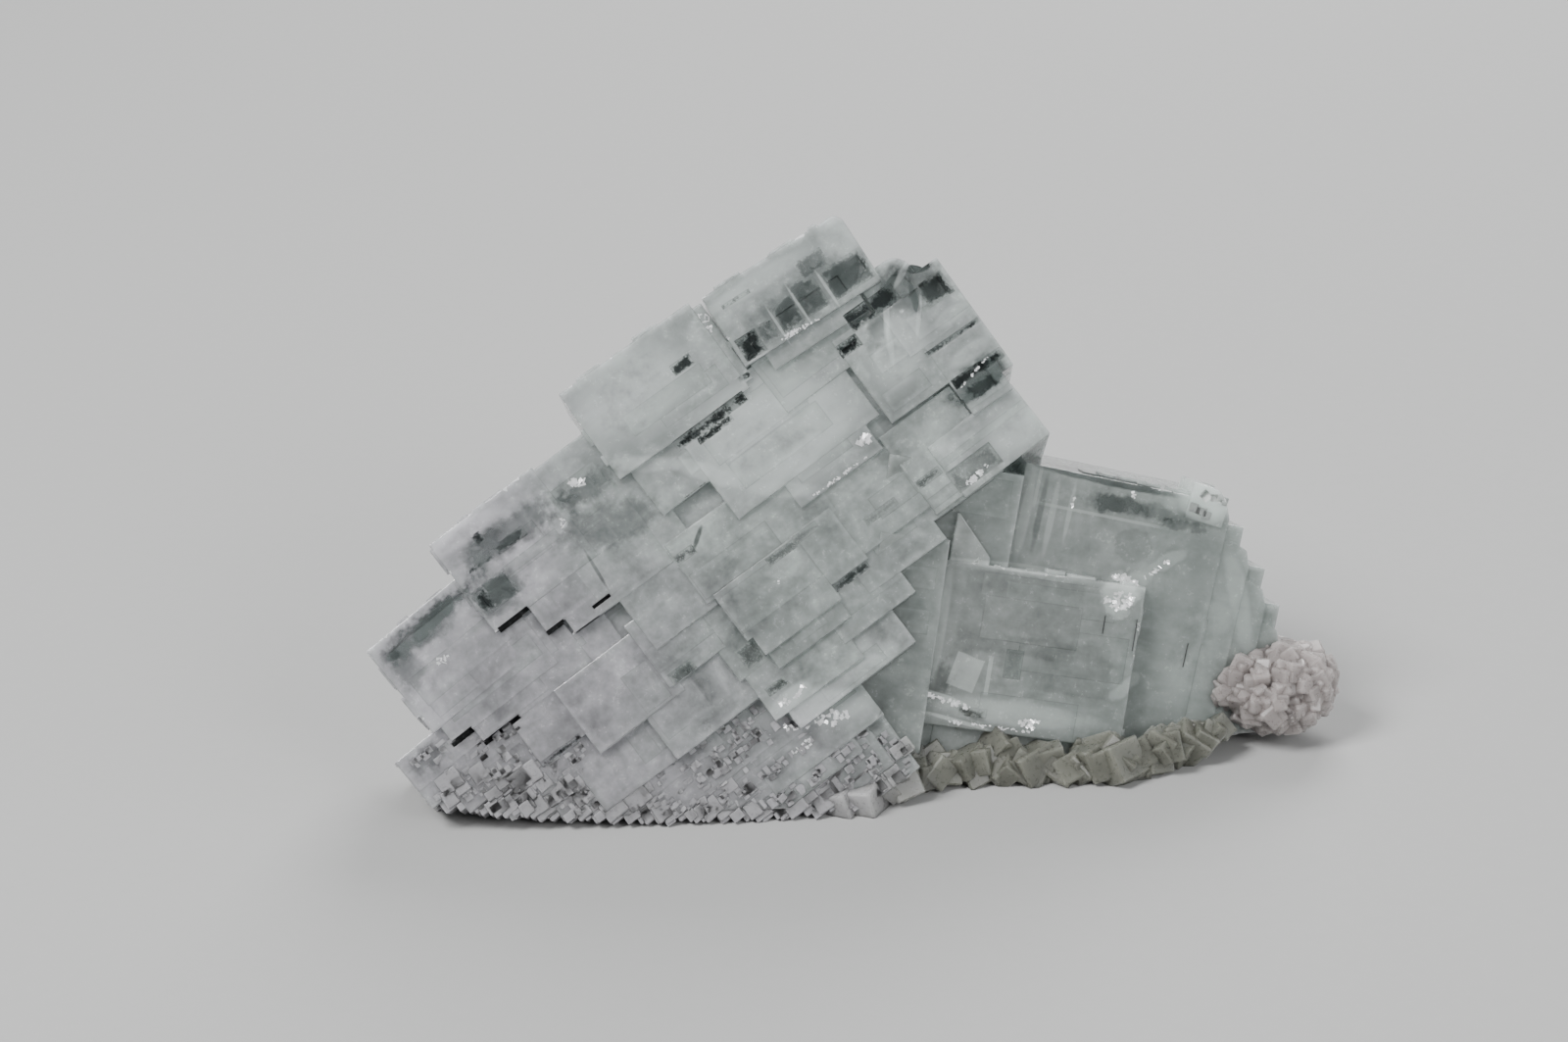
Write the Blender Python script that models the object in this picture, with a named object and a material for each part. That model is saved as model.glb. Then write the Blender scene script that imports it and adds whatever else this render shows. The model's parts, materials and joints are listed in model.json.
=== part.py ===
"""Fluorite specimen: a cluster of stepped cubes, grown together, on a broken base.

Run it with blender --background --python part.py, or from the text editor.
Metres, +Z up.  The origin is the centre of the footprint, on the surface that
the specimen rests on.  +X runs along the specimen, and its display side faces -Y.

Fluorite grows as cubes that share one lattice, a few degrees apart at most.  This
specimen has two such groups.  The large one climbs from the lower left to the
upper right, and each of its cubes stands out further than the one below it.  The
small one stands upright on the right.  Each cube is written as the slab of its
lattice that it fills, and one Boolean union grows them together.
"""

import math
import random
from typing import NamedTuple

import bmesh
import bpy
from mathutils import Matrix, Vector

MM = 0.001

NAME = "fluorite_cluster"

# The specimen is cut this far above the surface, and only its feet reach down to it.
BASE_CLEARANCE = 1.4
# Both lattices start from one point, this far from the centre of the footprint.
GROWTH_START = (0.67, -0.88, 0.0)
CUTTER_SIZE = 160.0

# A misfit turns a cube in its front face's plane, and this share of it sideways.
SIDEWAYS_MISFIT = 1 / 3

SEED = 11


class Lattice(NamedTuple):
    """One direction of growth, as the angles in degrees of its cubes' front faces."""

    turn: float  # about the vertical, towards the left
    lean: float  # how far the front faces lean back
    climb: float  # how steeply the cubes' long edges rise to the right

    def matrix(self):
        """Turns (along, -out, up) of this lattice into the specimen's own frame."""
        return (
            Matrix.Rotation(math.radians(self.turn), 4, "Z")
            @ Matrix.Rotation(math.radians(-self.lean), 4, "X")
            @ Matrix.Rotation(math.radians(-self.climb), 4, "Y")
        )


class Cube(NamedTuple):
    """A crystal's extent in its lattice, in millimetres, and its misfit in degrees."""

    name: str
    along: tuple  # left and right sides
    up: tuple  # lower and upper sides
    out: tuple  # back and front faces
    misfit: float = 0.0  # turn in the front face's plane, raising the right end


CLIMBING = Lattice(turn=-1.0, lean=29.8, climb=34.4)
UPRIGHT = Lattice(turn=6.5, lean=14.0, climb=-16.2)

CLIMBING_CUBES = (
    # The lowest row, whose lower corners follow the slope of the base.
    Cube("low_left", (-41.5, -29), (20.3, 26.5), (3, 17.6), 3.5),
    Cube("low_left_inner", (-38.6, -26), (17.5, 24), (0, 17.5), 2.5),
    Cube("low_left_foot", (-35.5, -22), (14.2, 22), (-2, 17.4), 1.5),
    Cube("low_second", (-31.2, -17), (10.6, 20), (-4, 17.3), 2.0),
    Cube("low_second_foot", (-27.2, -13), (7.4, 16), (-6, 17.2), 1.0),
    Cube("low_third", (-23.2, -9), (4.2, 13), (-7, 17.1), 1.4),
    Cube("low_third_foot", (-18.6, -5), (1.2, 10), (-8, 17), 0.6),
    Cube("low_fourth", (-14.6, -2), (-1.8, 7), (-9, 16.9), 1.0),
    Cube("low_fourth_foot", (-10.6, 0), (-4.6, 4), (-9, 16.6), -0.4),
    Cube("low_fifth", (-6.4, 2), (-6.4, 3), (-9, 16.3), -1.0),
    # The fourth cube from the top, with its stepped lower side.
    Cube("fourth", (-37, -24), (26.5, 37.6), (4, 18.2), 3.4),
    Cube("fourth_step_a", (-35.7, -22), (24.2, 33.3), (3, 18.1), 1.6),
    Cube("fourth_step_b", (-33, -19), (22.2, 30.3), (2, 18), 1.2),
    Cube("fourth_step_c", (-29.5, -15), (16.7, 26), (0, 17.9), 0.5),
    # The third cube.
    Cube("third", (-25.4, -12), (30.8, 42.4), (7, 18.8), 1.2),
    Cube("third_step_a", (-21, -9), (27.6, 38.7), (5, 18.7), 0.5),
    Cube("third_step_b", (-18.6, -6), (25.7, 36.7), (4, 18.7), -0.3),
    Cube("third_inner", (-15, -3), (26.7, 42.2), (6, 18.7), 0.8),
    # The second cube.
    Cube("second", (-5.4, 11.2), (35.7, 46.8), (7, 19.6), -0.8),
    Cube("second_right", (6.5, 12.2), (36.3, 46), (8, 19.5), -2.0),
    Cube("second_lower", (-4.2, 6.4), (30.2, 41), (6, 19.1), 0.6),
    # The topmost cube.
    Cube("top", (12.4, 29.3), (36.9, 45.5), (8, 20.5), -4.0),
    Cube("top_lower", (14.6, 26.3), (35.1, 41.4), (7, 19.9), -3.0),
    # The bright face in the middle and what carries it.
    Cube("middle", (1.9, 20.2), (25.2, 37.3), (4, 19.2), 0.4),
    Cube("middle_lower", (7.9, 18.5), (22.2, 32), (4, 19.1), -0.4),
    Cube("middle_right", (12.6, 23.8), (31.1, 37.7), (8, 19.3), 0.9),
    # The cubes on the right shoulder.
    Cube("shoulder", (28.2, 34.8), (21.2, 35.1), (6, 19.6), -1.6),
    Cube("shoulder_inner", (20.8, 34.2), (23.6, 34.3), (6, 19.5), -0.8),
    Cube("shoulder_cap", (26.5, 32.2), (28, 38), (7, 19.6), -1.2),
    Cube("shoulder_corner", (26.8, 33.5), (26.9, 36.7), (7, 19.5), -1.6),
    Cube("shoulder_side", (28.2, 33.2), (19.2, 24.9), (5, 19.5), -2.0),
    Cube("shoulder_foot", (22.1, 33.2), (13, 19.6), (4, 19.2), 0.8),
    Cube("shoulder_plate", (18.7, 27.9), (13.3, 23.4), (3, 19), 0.3),
    # The terraces between the lower row and the bright face.
    Cube("terrace_square", (-4.9, 5.6), (12.1, 20.4), (2, 19), 0.2),
    Cube("terrace_sill", (-3.9, 5.4), (10.1, 13.5), (1, 18.7), -0.2),
    Cube("terrace_right", (4.9, 10.3), (13.9, 20.6), (2, 18.9), 0.5),
    Cube("terrace_far_right", (9.3, 19.4), (14.4, 22.5), (3, 18.8), -0.3),
    Cube("terrace_upper", (-5.9, 10.8), (19.9, 27.6), (3, 18.8), -0.4),
    Cube("terrace_left", (-13, -5), (19.3, 28.5), (3, 18.6), 0.4),
    Cube("terrace_low_left", (-24, -13), (14.2, 22.4), (0, 18.2), 0.8),
    Cube("terrace_low_middle", (-14.2, -7), (15.3, 23.4), (0, 18.4), 0.6),
    Cube("terrace_between", (-8, -4), (11.5, 20.5), (0, 18.3), 0.3),
    Cube("terrace_foot_left", (-18, -6), (9, 16.2), (-3, 18), 0.9),
    Cube("terrace_foot_middle", (-7.3, 4), (6, 12.2), (-4, 18.3), -0.7),
    Cube("terrace_foot_right", (3, 12.2), (8.2, 16.3), (-4, 18.4), 0.4),
    Cube("terrace_edge", (8.3, 18.2), (10.8, 16.4), (-4, 18.5), -0.6),
    # The body that the visible cubes grew on, and the steps of its back.
    Cube("body_left", (-27, -2), (9, 31), (-1, 17.4)),
    Cube("body_low", (-12, 2), (0, 14), (-8, 17), 0.4),
    Cube("body_middle", (-6, 9), (4, 31), (-3, 18), 0.7),
    Cube("body_right", (4, 26), (13, 33), (2, 18.5), -0.6),
    Cube("back_left", (-30, -14), (14, 30), (-6, 8), 2.1),
    Cube("back_middle", (-16, 5), (10, 29), (-9, 10), -1.6),
    Cube("back_upper", (-2, 15), (22, 36), (3, 15), 1.4),
    Cube("back_right", (6, 23), (6, 24), (-6, 6), 1.1),
)

UPRIGHT_CUBES = (
    Cube("tall", (8.4, 31), (1, 33.6), (-8, 10.3), 0.0),
    Cube("tall_right", (25, 34.2), (4, 29.7), (-9, 9.6), -0.8),
    Cube("tall_step_a", (27, 37), (7, 26), (-7, 9), 0.9),
    Cube("tall_step_b", (28, 39.4), (6, 22), (-6, 8.4), -1.3),
    Cube("tall_left", (2, 16), (0, 27), (-10, 8), 1.2),
    Cube("front", (2.2, 23.8), (5.3, 22.7), (0, 12), 3.0),
    Cube("front_sill", (4.3, 24.3), (1.8, 8.9), (-2, 11.2), 2.0),
    Cube("knob", (25.8, 30.2), (31.2, 34.6), (3, 9.4), -9.0),
    Cube("wedge", (-5, 2.4), (0, 24), (-4, 13), 4.0),
    Cube("wedge_root", (-3.4, 6), (1, 24), (-4, 11.1), 4.0),
    Cube("wedge_high", (-6, 8.4), (20, 32), (-4, 11.4), 2.0),
    Cube("back_low", (10, 34), (0, 17), (-13, 2), -2.4),
    Cube("back_high", (12, 27), (12, 28), (-12, 2), 1.8),
)

# Where the specimen stands: x and y of each foot, and the size of its crystal.
FEET = (
    (-34.0, -2.0, 10.0),
    (-20.0, -7.0, 10.0),
    (-4.0, -8.0, 10.0),
    (13.0, -4.0, 10.0),
    (27.0, 0.5, 9.0),
    (-18.0, 6.0, 11.0),
    (2.0, 8.0, 13.0),
    (24.0, 10.0, 12.0),
)

FOOT_DEPTH = 0.8  # front to back, as a share of its width
FOOT_HEIGHT = 0.3  # of its middle above the surface, as a share of its width
FOOT_TILT = (8.0, 16.0)

# The front edge of the base, from left to right, as x, y and z of its crust.
CRUST_EDGE = (
    (-44.0, -9.6, 3.2),
    (-34.0, -12.2, 2.0),
    (-23.6, -15.6, 1.5),
    (-10.0, -16.0, 1.5),
    (-2.0, -16.0, 1.5),
    (3.5, -13.0, 1.8),
    (9.0, -11.0, 2.0),
    (19.0, -12.6, 2.0),
    (30.0, -12.0, 2.2),
    (37.0, -7.5, 3.6),
)
CRUST_STEP = 2.6
CRUST_SIZES = (3.0, 4.6)
CRUST_SCATTER = 0.7

# The pale lump at the right end, a ball of small crystals.
LUMP_CENTRE = (42.4, -2.6, 5.2)
LUMP_RADII = (5.8, 5.6, 3.4)
LUMP_SIZES = (4.2, 6.2)
LUMP_CRYSTALS = 15
LUMP_REACH = (0.25, 0.75)  # from the centre, as a share of the radii


def clear_scene():
    """Removes everything that the new file came with."""
    for thing in list(bpy.data.objects):
        bpy.data.objects.remove(thing, do_unlink=True)


def new_collection(name):
    """An empty collection in the scene."""
    collection = bpy.data.collections.new(name)
    bpy.context.scene.collection.children.link(collection)
    return collection


def box_object(name, size, matrix, collection):
    """A box of this size, in millimetres, placed by a matrix in millimetres."""
    shape = bmesh.new()
    bmesh.ops.create_cube(shape, size=1.0)
    bmesh.ops.scale(shape, vec=size, verts=shape.verts)
    place = Matrix.Scale(MM, 4) @ Matrix.Translation(GROWTH_START) @ matrix
    bmesh.ops.transform(shape, matrix=place, verts=shape.verts)
    mesh = bpy.data.meshes.new(name)
    shape.to_mesh(mesh)
    shape.free()
    box = bpy.data.objects.new(name, mesh)
    collection.objects.link(box)
    return box


def grow_cube(cube, lattice, collection):
    """One cube of a lattice, turned about its own middle by its misfit."""
    spans = (cube.along, cube.out, cube.up)
    size = [high - low for low, high in spans]
    middle = Vector((sum(cube.along), -sum(cube.out), sum(cube.up))) / 2
    place = (
        lattice.matrix()
        @ Matrix.Translation(middle)
        @ Matrix.Rotation(math.radians(-cube.misfit), 4, "Y")
        @ Matrix.Rotation(math.radians(cube.misfit * SIDEWAYS_MISFIT), 4, "Z")
    )
    return box_object(cube.name, size, place, collection)


def any_turn(rng):
    """A rotation that points anywhere."""
    turn = Matrix.Identity(4)
    for axis in "XYZ":
        turn = Matrix.Rotation(rng.uniform(0, math.tau), 4, axis) @ turn
    return turn


def small_crystal(name, place, size, rng, collection):
    """A crystal of the crust, which grew in any direction."""
    matrix = Matrix.Translation(place) @ any_turn(rng)
    return box_object(name, (size, size, size), matrix, collection)


def grow_feet(rng, collection):
    """The crystals that reach down to the surface and are cut flat there."""
    for number, (x, y, size) in enumerate(FEET):
        place = (
            Matrix.Translation((x, y, size * FOOT_HEIGHT))
            @ Matrix.Rotation(rng.uniform(0, math.tau), 4, "Z")
            @ Matrix.Rotation(math.radians(rng.uniform(*FOOT_TILT)), 4, "X")
        )
        sides = (size, size * FOOT_DEPTH, size)
        box_object(f"foot_{number}", sides, place, collection)


def grow_crust(rng, collection):
    """Small crystals side by side along the front edge of the base."""
    number = 0
    for start, end in zip(CRUST_EDGE, CRUST_EDGE[1:]):
        run = Vector(end) - Vector(start)
        steps = max(1, round(run.length / CRUST_STEP))
        for step in range(steps):
            place = Vector(start) + run * (step / steps)
            place += Vector([rng.uniform(-1, 1) * CRUST_SCATTER for _ in "xyz"])
            size = rng.uniform(*CRUST_SIZES)
            small_crystal(f"crust_{number}", place, size, rng, collection)
            number += 1


def grow_lump(rng, collection):
    """A rounded heap of small crystals."""
    for number in range(LUMP_CRYSTALS):
        way = Vector([rng.gauss(0, 1) for _ in "xyz"]).normalized()
        reach = rng.uniform(*LUMP_REACH)
        offset = Vector([part * radius * reach for part, radius in zip(way, LUMP_RADII)])
        size = rng.uniform(*LUMP_SIZES)
        place = Vector(LUMP_CENTRE) + offset
        small_crystal(f"lump_{number}", place, size, rng, collection)


def cut_below(height, name, collection):
    """A block that fills the space below a height."""
    place = Matrix.Translation((0, 0, height - CUTTER_SIZE / 2))
    return box_object(name, (CUTTER_SIZE,) * 3, place, collection)


def helper_collection(name):
    """A collection of shapes that only serve a Boolean."""
    collection = new_collection(name)
    collection.hide_render = True
    return collection


def add_boolean(thing, name, operation, collection=None, cutter=None):
    """Adds a Boolean with one object or with every object of a collection."""
    modifier = thing.modifiers.new(name, "BOOLEAN")
    modifier.operation = operation
    modifier.solver = "EXACT"
    if collection:
        modifier.operand_type = "COLLECTION"
        modifier.collection = collection
    else:
        modifier.object = cutter


def fluorite():
    """Clear, faintly green fluorite."""
    material = bpy.data.materials.new("fluorite")
    material.use_nodes = True
    shader = material.node_tree.nodes["Principled BSDF"]
    shader.inputs["Base Color"].default_value = (0.62, 0.71, 0.69, 1.0)
    shader.inputs["Roughness"].default_value = 0.25
    shader.inputs["Metallic"].default_value = 0.0
    shader.inputs["IOR"].default_value = 1.434
    return material


def main():
    """Grows the specimen."""
    clear_scene()
    rng = random.Random(SEED)
    specimen = new_collection("fluorite_specimen")
    crystals = helper_collection("crystals")
    contact = helper_collection("contact_crystals")
    cutters = helper_collection("cutters")

    first, *rest = CLIMBING_CUBES
    cluster = grow_cube(first, CLIMBING, specimen)
    cluster.name = cluster.data.name = NAME
    cluster.data.materials.append(fluorite())
    for cube in rest:
        grow_cube(cube, CLIMBING, crystals)
    for cube in UPRIGHT_CUBES:
        grow_cube(cube, UPRIGHT, crystals)
    grow_lump(rng, crystals)
    grow_feet(rng, contact)
    grow_crust(rng, contact)

    clearance = cut_below(BASE_CLEARANCE, "base_clearance", cutters)
    surface = cut_below(0.0, "resting_surface", cutters)
    for helper in (*crystals.objects, *contact.objects, clearance, surface):
        helper.hide_render = True
        helper.display_type = "WIRE"

    add_boolean(cluster, "grow together", "UNION", collection=crystals)
    add_boolean(cluster, "clear the surface", "DIFFERENCE", cutter=clearance)
    add_boolean(cluster, "grow the contact", "UNION", collection=contact)
    add_boolean(cluster, "rest flat", "DIFFERENCE", cutter=surface)


if __name__ == "__main__":
    main()
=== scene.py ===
"""Looks of a fluorite specimen: stepped cubes grown together on a drusy base.

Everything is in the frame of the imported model, in metres, with +Z up and the display
side facing -Y.  Sizes below are in millimetres, and MM turns them into metres.

The body is grown the way the mineral grows.  Each cube is a slab of one of two
lattices, thin growth layers lie on its faces, and slots and windows are cut or set
into it.  One Boolean union makes it a single closed crystal.  Every face remembers how
far each point is from that crystal's own edges, and how milky it is, and the finish
reads both.
"""

import json
import logging
import math
import random
from dataclasses import dataclass
from enum import IntEnum
from itertools import product
from typing import Iterable, Iterator, Sequence, Union

import bmesh
import bpy
from mathutils import Matrix, Vector

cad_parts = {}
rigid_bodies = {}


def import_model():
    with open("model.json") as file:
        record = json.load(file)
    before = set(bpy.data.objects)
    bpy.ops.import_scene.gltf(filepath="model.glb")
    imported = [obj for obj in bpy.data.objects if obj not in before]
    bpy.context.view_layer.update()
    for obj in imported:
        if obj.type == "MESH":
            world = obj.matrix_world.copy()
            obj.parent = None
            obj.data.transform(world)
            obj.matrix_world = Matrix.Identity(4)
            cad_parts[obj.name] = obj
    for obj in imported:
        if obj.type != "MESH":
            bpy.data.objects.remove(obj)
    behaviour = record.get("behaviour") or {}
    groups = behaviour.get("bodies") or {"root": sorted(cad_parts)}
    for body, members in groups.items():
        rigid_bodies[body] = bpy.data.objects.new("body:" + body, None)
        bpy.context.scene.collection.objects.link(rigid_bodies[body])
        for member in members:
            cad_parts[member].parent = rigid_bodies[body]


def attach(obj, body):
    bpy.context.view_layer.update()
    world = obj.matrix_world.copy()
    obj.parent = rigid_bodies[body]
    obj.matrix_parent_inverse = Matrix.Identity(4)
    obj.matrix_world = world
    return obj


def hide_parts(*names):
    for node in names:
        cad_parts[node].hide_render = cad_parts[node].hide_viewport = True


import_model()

LOG = logging.getLogger("fluorite")

MM = 0.001
NODE = "fluorite_cluster"
BODY = "root"

# Both lattices start from one point, this far from the centre of the footprint.
GROWTH_START = (0.67, -0.88, 0.0)
# The crystal is cut this far above the surface, and only its feet reach down to it.
BASE_CLEARANCE = 1.4
CUTTER_SIZE = 160.0
# A misfit turns a cube in its front face's plane, and this share of it sideways.
SIDEWAYS_MISFIT = 1 / 3

# The bevel of the cubes' edges, in millimetres, and how many faces it has.
BEVEL = 0.10
BEVEL_STEPS = 2
# How clear the lower sides of the cubes are, where the steps end; being clear darkens them, painted shade on
# the down-facing sides.
SHADED_UNDERSIDE_CLARITY = 0.55
# Edges that turn by more than this are bevelled, in radians.
SHARP_ANGLE = math.radians(35)
# How rough a small crystal is, and the least and most of its sides, as shares of its size.
CRYSTAL_FROST = 0.5
CRYSTAL_SIDES = (0.75, 1.25)

# Fluorite's refractive index.
IOR = 1.434
# How far red, green and blue light scatter, as shares of a finish's scatter.
EVEN = (1.0, 1.0, 1.0)

# The axes of a cube.
AXES = range(3)
ALONG, OUT, UP = AXES

# Names of what each face corner remembers.
NEAR_EDGES = "near_edges"
FAR_EDGES = "far_edges"
GROWTH = "growth"

Number = Union[float, "Value"]
Span = tuple[float, float]
Colour = tuple[float, float, float]


# ---------------------------------------------------------------------------
# Shader building
# ---------------------------------------------------------------------------


class Value:
    """A number that varies over a surface, for use in Python expressions."""

    def __init__(self, tree: "Tree", socket: bpy.types.NodeSocket) -> None:
        """Wraps an output socket of a tree."""
        self.tree = tree
        self.socket = socket

    def math(self, operation: str, *others: Number, clamp: bool = False) -> "Value":
        """Adds a Math node that starts from this value.

        Args:
            operation: The Math node's operation.
            *others: The second and third operands.
            clamp: Whether the result stays between 0 and 1.

        Returns:
            The node's result.
        """
        settings = {"operation": operation, "use_clamp": clamp}
        operands = dict(enumerate((self, *others)))
        return Value(self.tree, self.tree.node("Math", settings, operands).outputs[0])

    def __add__(self, other: Number) -> "Value":
        """This value plus another."""
        return self.math("ADD", other)

    def __radd__(self, other: float) -> "Value":
        """A number plus this value."""
        return self.math("ADD", other)

    def __sub__(self, other: Number) -> "Value":
        """This value less another."""
        return self.math("SUBTRACT", other)

    def __rsub__(self, other: float) -> "Value":
        """A number less this value."""
        return (self * -1.0) + other

    def __mul__(self, other: Number) -> "Value":
        """This value times another."""
        return self.math("MULTIPLY", other)

    def __rmul__(self, other: float) -> "Value":
        """A number times this value."""
        return self.math("MULTIPLY", other)

    def least(self, other: Number) -> "Value":
        """The smaller of this value and another."""
        return self.math("MINIMUM", other)

    def most(self, other: Number) -> "Value":
        """The larger of this value and another."""
        return self.math("MAXIMUM", other)

    def swing(self, amount: float) -> "Value":
        """How far this value is from one half, times an amount."""
        return (self - 0.5) * amount

    def clamp(self) -> "Value":
        """This value, kept between 0 and 1."""
        return self.math("ADD", 0.0, clamp=True)

    def ramp(self, low: float, high: float) -> "Value":
        """Rises smoothly from 0 at the low value to 1 at the high one.

        Args:
            low: Where the rise starts.
            high: Where it ends; it may be less than low, for a fall.

        Returns:
            The smoothed value.
        """
        settings = {"interpolation_type": "SMOOTHSTEP"}
        inputs = {"Value": self, "From Min": min(low, high), "From Max": max(low, high)}
        risen = Value(self.tree, self.tree.node("MapRange", settings, inputs).outputs[0])
        return 1.0 - risen if low > high else risen


@dataclass(frozen=True)
class Noise:
    """The settings of fractal noise."""

    scale: float  # features to a millimetre
    detail: float = 3.0  # octaves
    roughness: float = 0.55  # how strong the fine octaves are
    distortion: float = 0.0  # how twisted it is


class Tree:
    """A material's nodes, which are all added by one method."""

    def __init__(self, name: str) -> None:
        """Makes a material with an empty tree.

        Args:
            name: The material's name.
        """
        self.material = bpy.data.materials.new(name)
        self.material.use_nodes = True
        self.nodes = self.material.node_tree.nodes
        self.links = self.material.node_tree.links
        self.nodes.clear()

    def node(self, kind: str, settings: dict | None = None, inputs: dict | None = None) -> bpy.types.Node:
        """Adds a node.

        Args:
            kind: The node's type, without ShaderNode in front.
            settings: Properties of the node, which are set first.
            inputs: For each socket's name or number, a value, a Value or an output socket.

        Returns:
            The node.
        """
        made = self.nodes.new("ShaderNode" + kind)
        for name, setting in (settings or {}).items():
            setattr(made, name, setting)
        for name, given in (inputs or {}).items():
            if isinstance(given, Value):
                given = given.socket
            if isinstance(given, bpy.types.NodeSocket):
                self.links.new(given, made.inputs[name])
            else:
                made.inputs[name].default_value = given
        return made

    def coordinates(self, turn: Matrix, stretch: Sequence[float] = (1, 1, 1)) -> bpy.types.NodeSocket:
        """Coordinates in millimetres from where growth started, along a lattice's axes.

        Args:
            turn: The lattice's matrix.
            stretch: A factor for each of its axes, applied after the turn.

        Returns:
            The coordinates' socket.
        """
        back = turn.inverted()
        inputs = {
            "Vector": self.node("TexCoord").outputs["Object"],
            "Location": -(back @ Vector(GROWTH_START)),
            "Rotation": back.to_euler(),
            "Scale": (1 / MM, 1 / MM, 1 / MM),
        }
        turned = self.node("Mapping", None, inputs).outputs[0]
        if tuple(stretch) == (1, 1, 1):
            return turned
        return self.node("Mapping", None, {"Vector": turned, "Scale": stretch}).outputs[0]

    def parts(self, vector: bpy.types.NodeSocket) -> tuple[Value, Value, Value]:
        """The three parts of a vector."""
        outputs = self.node("SeparateXYZ", None, {0: vector}).outputs
        return tuple(Value(self, output) for output in outputs)

    def reach(self, vector: bpy.types.NodeSocket, boxy: bool) -> Value:
        """How far out a point is.

        Args:
            vector: The point, in radii.
            boxy: Whether it is measured on a box instead of a ball.

        Returns:
            The distance, which is 1 on the ball or box of radius 1.
        """
        if not boxy:
            return Value(self, self.node("VectorMath", {"operation": "LENGTH"}, {0: vector}).outputs["Value"])
        along, out, up = (part.math("ABSOLUTE") for part in self.parts(vector))
        return along.most(out).most(up)

    def attribute(self, name: str) -> tuple[Value, Value, Value]:
        """The three parts of what the face corners remember under a name."""
        return self.parts(self.node("Attribute", {"attribute_name": name}).outputs["Vector"])

    def noise(self, at: bpy.types.NodeSocket, noise: Noise) -> Value:
        """Fractal noise.

        Args:
            at: The coordinates, in millimetres.
            noise: Its settings.

        Returns:
            The noise, around 0.5.
        """
        inputs = {"Vector": at, "Scale": noise.scale, "Detail": noise.detail,
                  "Roughness": noise.roughness, "Distortion": noise.distortion}
        return Value(self, self.node("TexNoise", None, inputs).outputs[0])

    def mix(self, factor: Number, first: Sequence[float] | bpy.types.NodeSocket,
            second: Sequence[float] | bpy.types.NodeSocket) -> bpy.types.NodeSocket:
        """Mixes two colours.

        Args:
            factor: 0 for the first colour, 1 for the second.
            first: A linear colour or a socket.
            second: A linear colour or a socket.

        Returns:
            The colour's socket.
        """
        opaque = [(*c, 1.0) if isinstance(c, tuple) else c for c in (first, second)]
        inputs = {0: factor, 6: opaque[0], 7: opaque[1]}
        return self.node("Mix", {"data_type": "RGBA"}, inputs).outputs[2]

    def shaded(self, base: bpy.types.NodeSocket, light: Value) -> bpy.types.NodeSocket:
        """A colour multiplied by how light it is."""
        shade = self.node("CombineXYZ", None, dict.fromkeys(AXES, light)).outputs[0]
        return self.node("VectorMath", {"operation": "MULTIPLY"}, {0: base, 1: shade}).outputs[0]

    def mix_shaders(self, factor: Number | bpy.types.NodeSocket, first: bpy.types.NodeSocket,
                    second: bpy.types.NodeSocket) -> bpy.types.NodeSocket:
        """Mixes two shaders, of which a factor of 0 gives the first and 1 the second."""
        return self.node("MixShader", None, {0: factor, 1: first, 2: second}).outputs[0]

    def bump(self, height: Value, depth: float) -> bpy.types.NodeSocket:
        """A normal bent by a height, which is from 0 to 1 of a depth in millimetres."""
        inputs = {"Strength": 1.0, "Distance": depth * MM, "Height": height}
        return self.node("Bump", None, inputs).outputs[0]

    def principled(self, **inputs: object) -> bpy.types.NodeSocket:
        """A Principled shader, whose inputs are named with underscores for spaces."""
        named = {name.replace("_", " "): given for name, given in inputs.items()}
        return self.node("BsdfPrincipled", None, named).outputs[0]

    def finish(self, surface: bpy.types.NodeSocket,
               volume: bpy.types.NodeSocket | None = None) -> bpy.types.Material:
        """Puts the shaders on the material's output.

        Args:
            surface: The surface's shader.
            volume: The inside's shader, if it has one.

        Returns:
            The material.
        """
        inputs = {"Surface": surface}
        if volume is not None:
            inputs["Volume"] = volume
        self.node("OutputMaterial", None, inputs)
        return self.material


# ---------------------------------------------------------------------------
# Lattices, cubes and what their faces remember
# ---------------------------------------------------------------------------


class Coat(IntEnum):
    """Which of the body's materials a face wears."""

    CLIMBING = 0
    UPRIGHT = 1
    SLOT = 2
    BROKEN = 3


@dataclass(frozen=True)
class Lattice:
    """One direction of growth, as the angles in degrees of its cubes' front faces."""

    turn: float  # about the vertical, towards the left
    lean: float  # how far the front faces lean back
    climb: float  # how steeply the cubes' long edges rise to the right

    def matrix(self) -> Matrix:
        """Turns (along, -out, up) of this lattice into the specimen's own frame."""
        return (
            Matrix.Rotation(math.radians(self.turn), 4, "Z")
            @ Matrix.Rotation(math.radians(-self.lean), 4, "X")
            @ Matrix.Rotation(math.radians(-self.climb), 4, "Y")
        )

    def place(self, along: float, up: float, out: float) -> Matrix:
        """Where a point of the lattice is in the specimen's frame, in its own direction."""
        return Matrix.Translation(GROWTH_START) @ self.matrix() @ Matrix.Translation((along, -out, up))


@dataclass(frozen=True)
class Growth:
    """What a crystal's faces remember of how it grew, each from 0 to 1."""

    tone: float = 0.5  # dark to light
    clarity: float = 0.0  # milky to clear
    tint: float = 0.5  # lilac to green
    frost: float = 0.0  # smooth to rough


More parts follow.
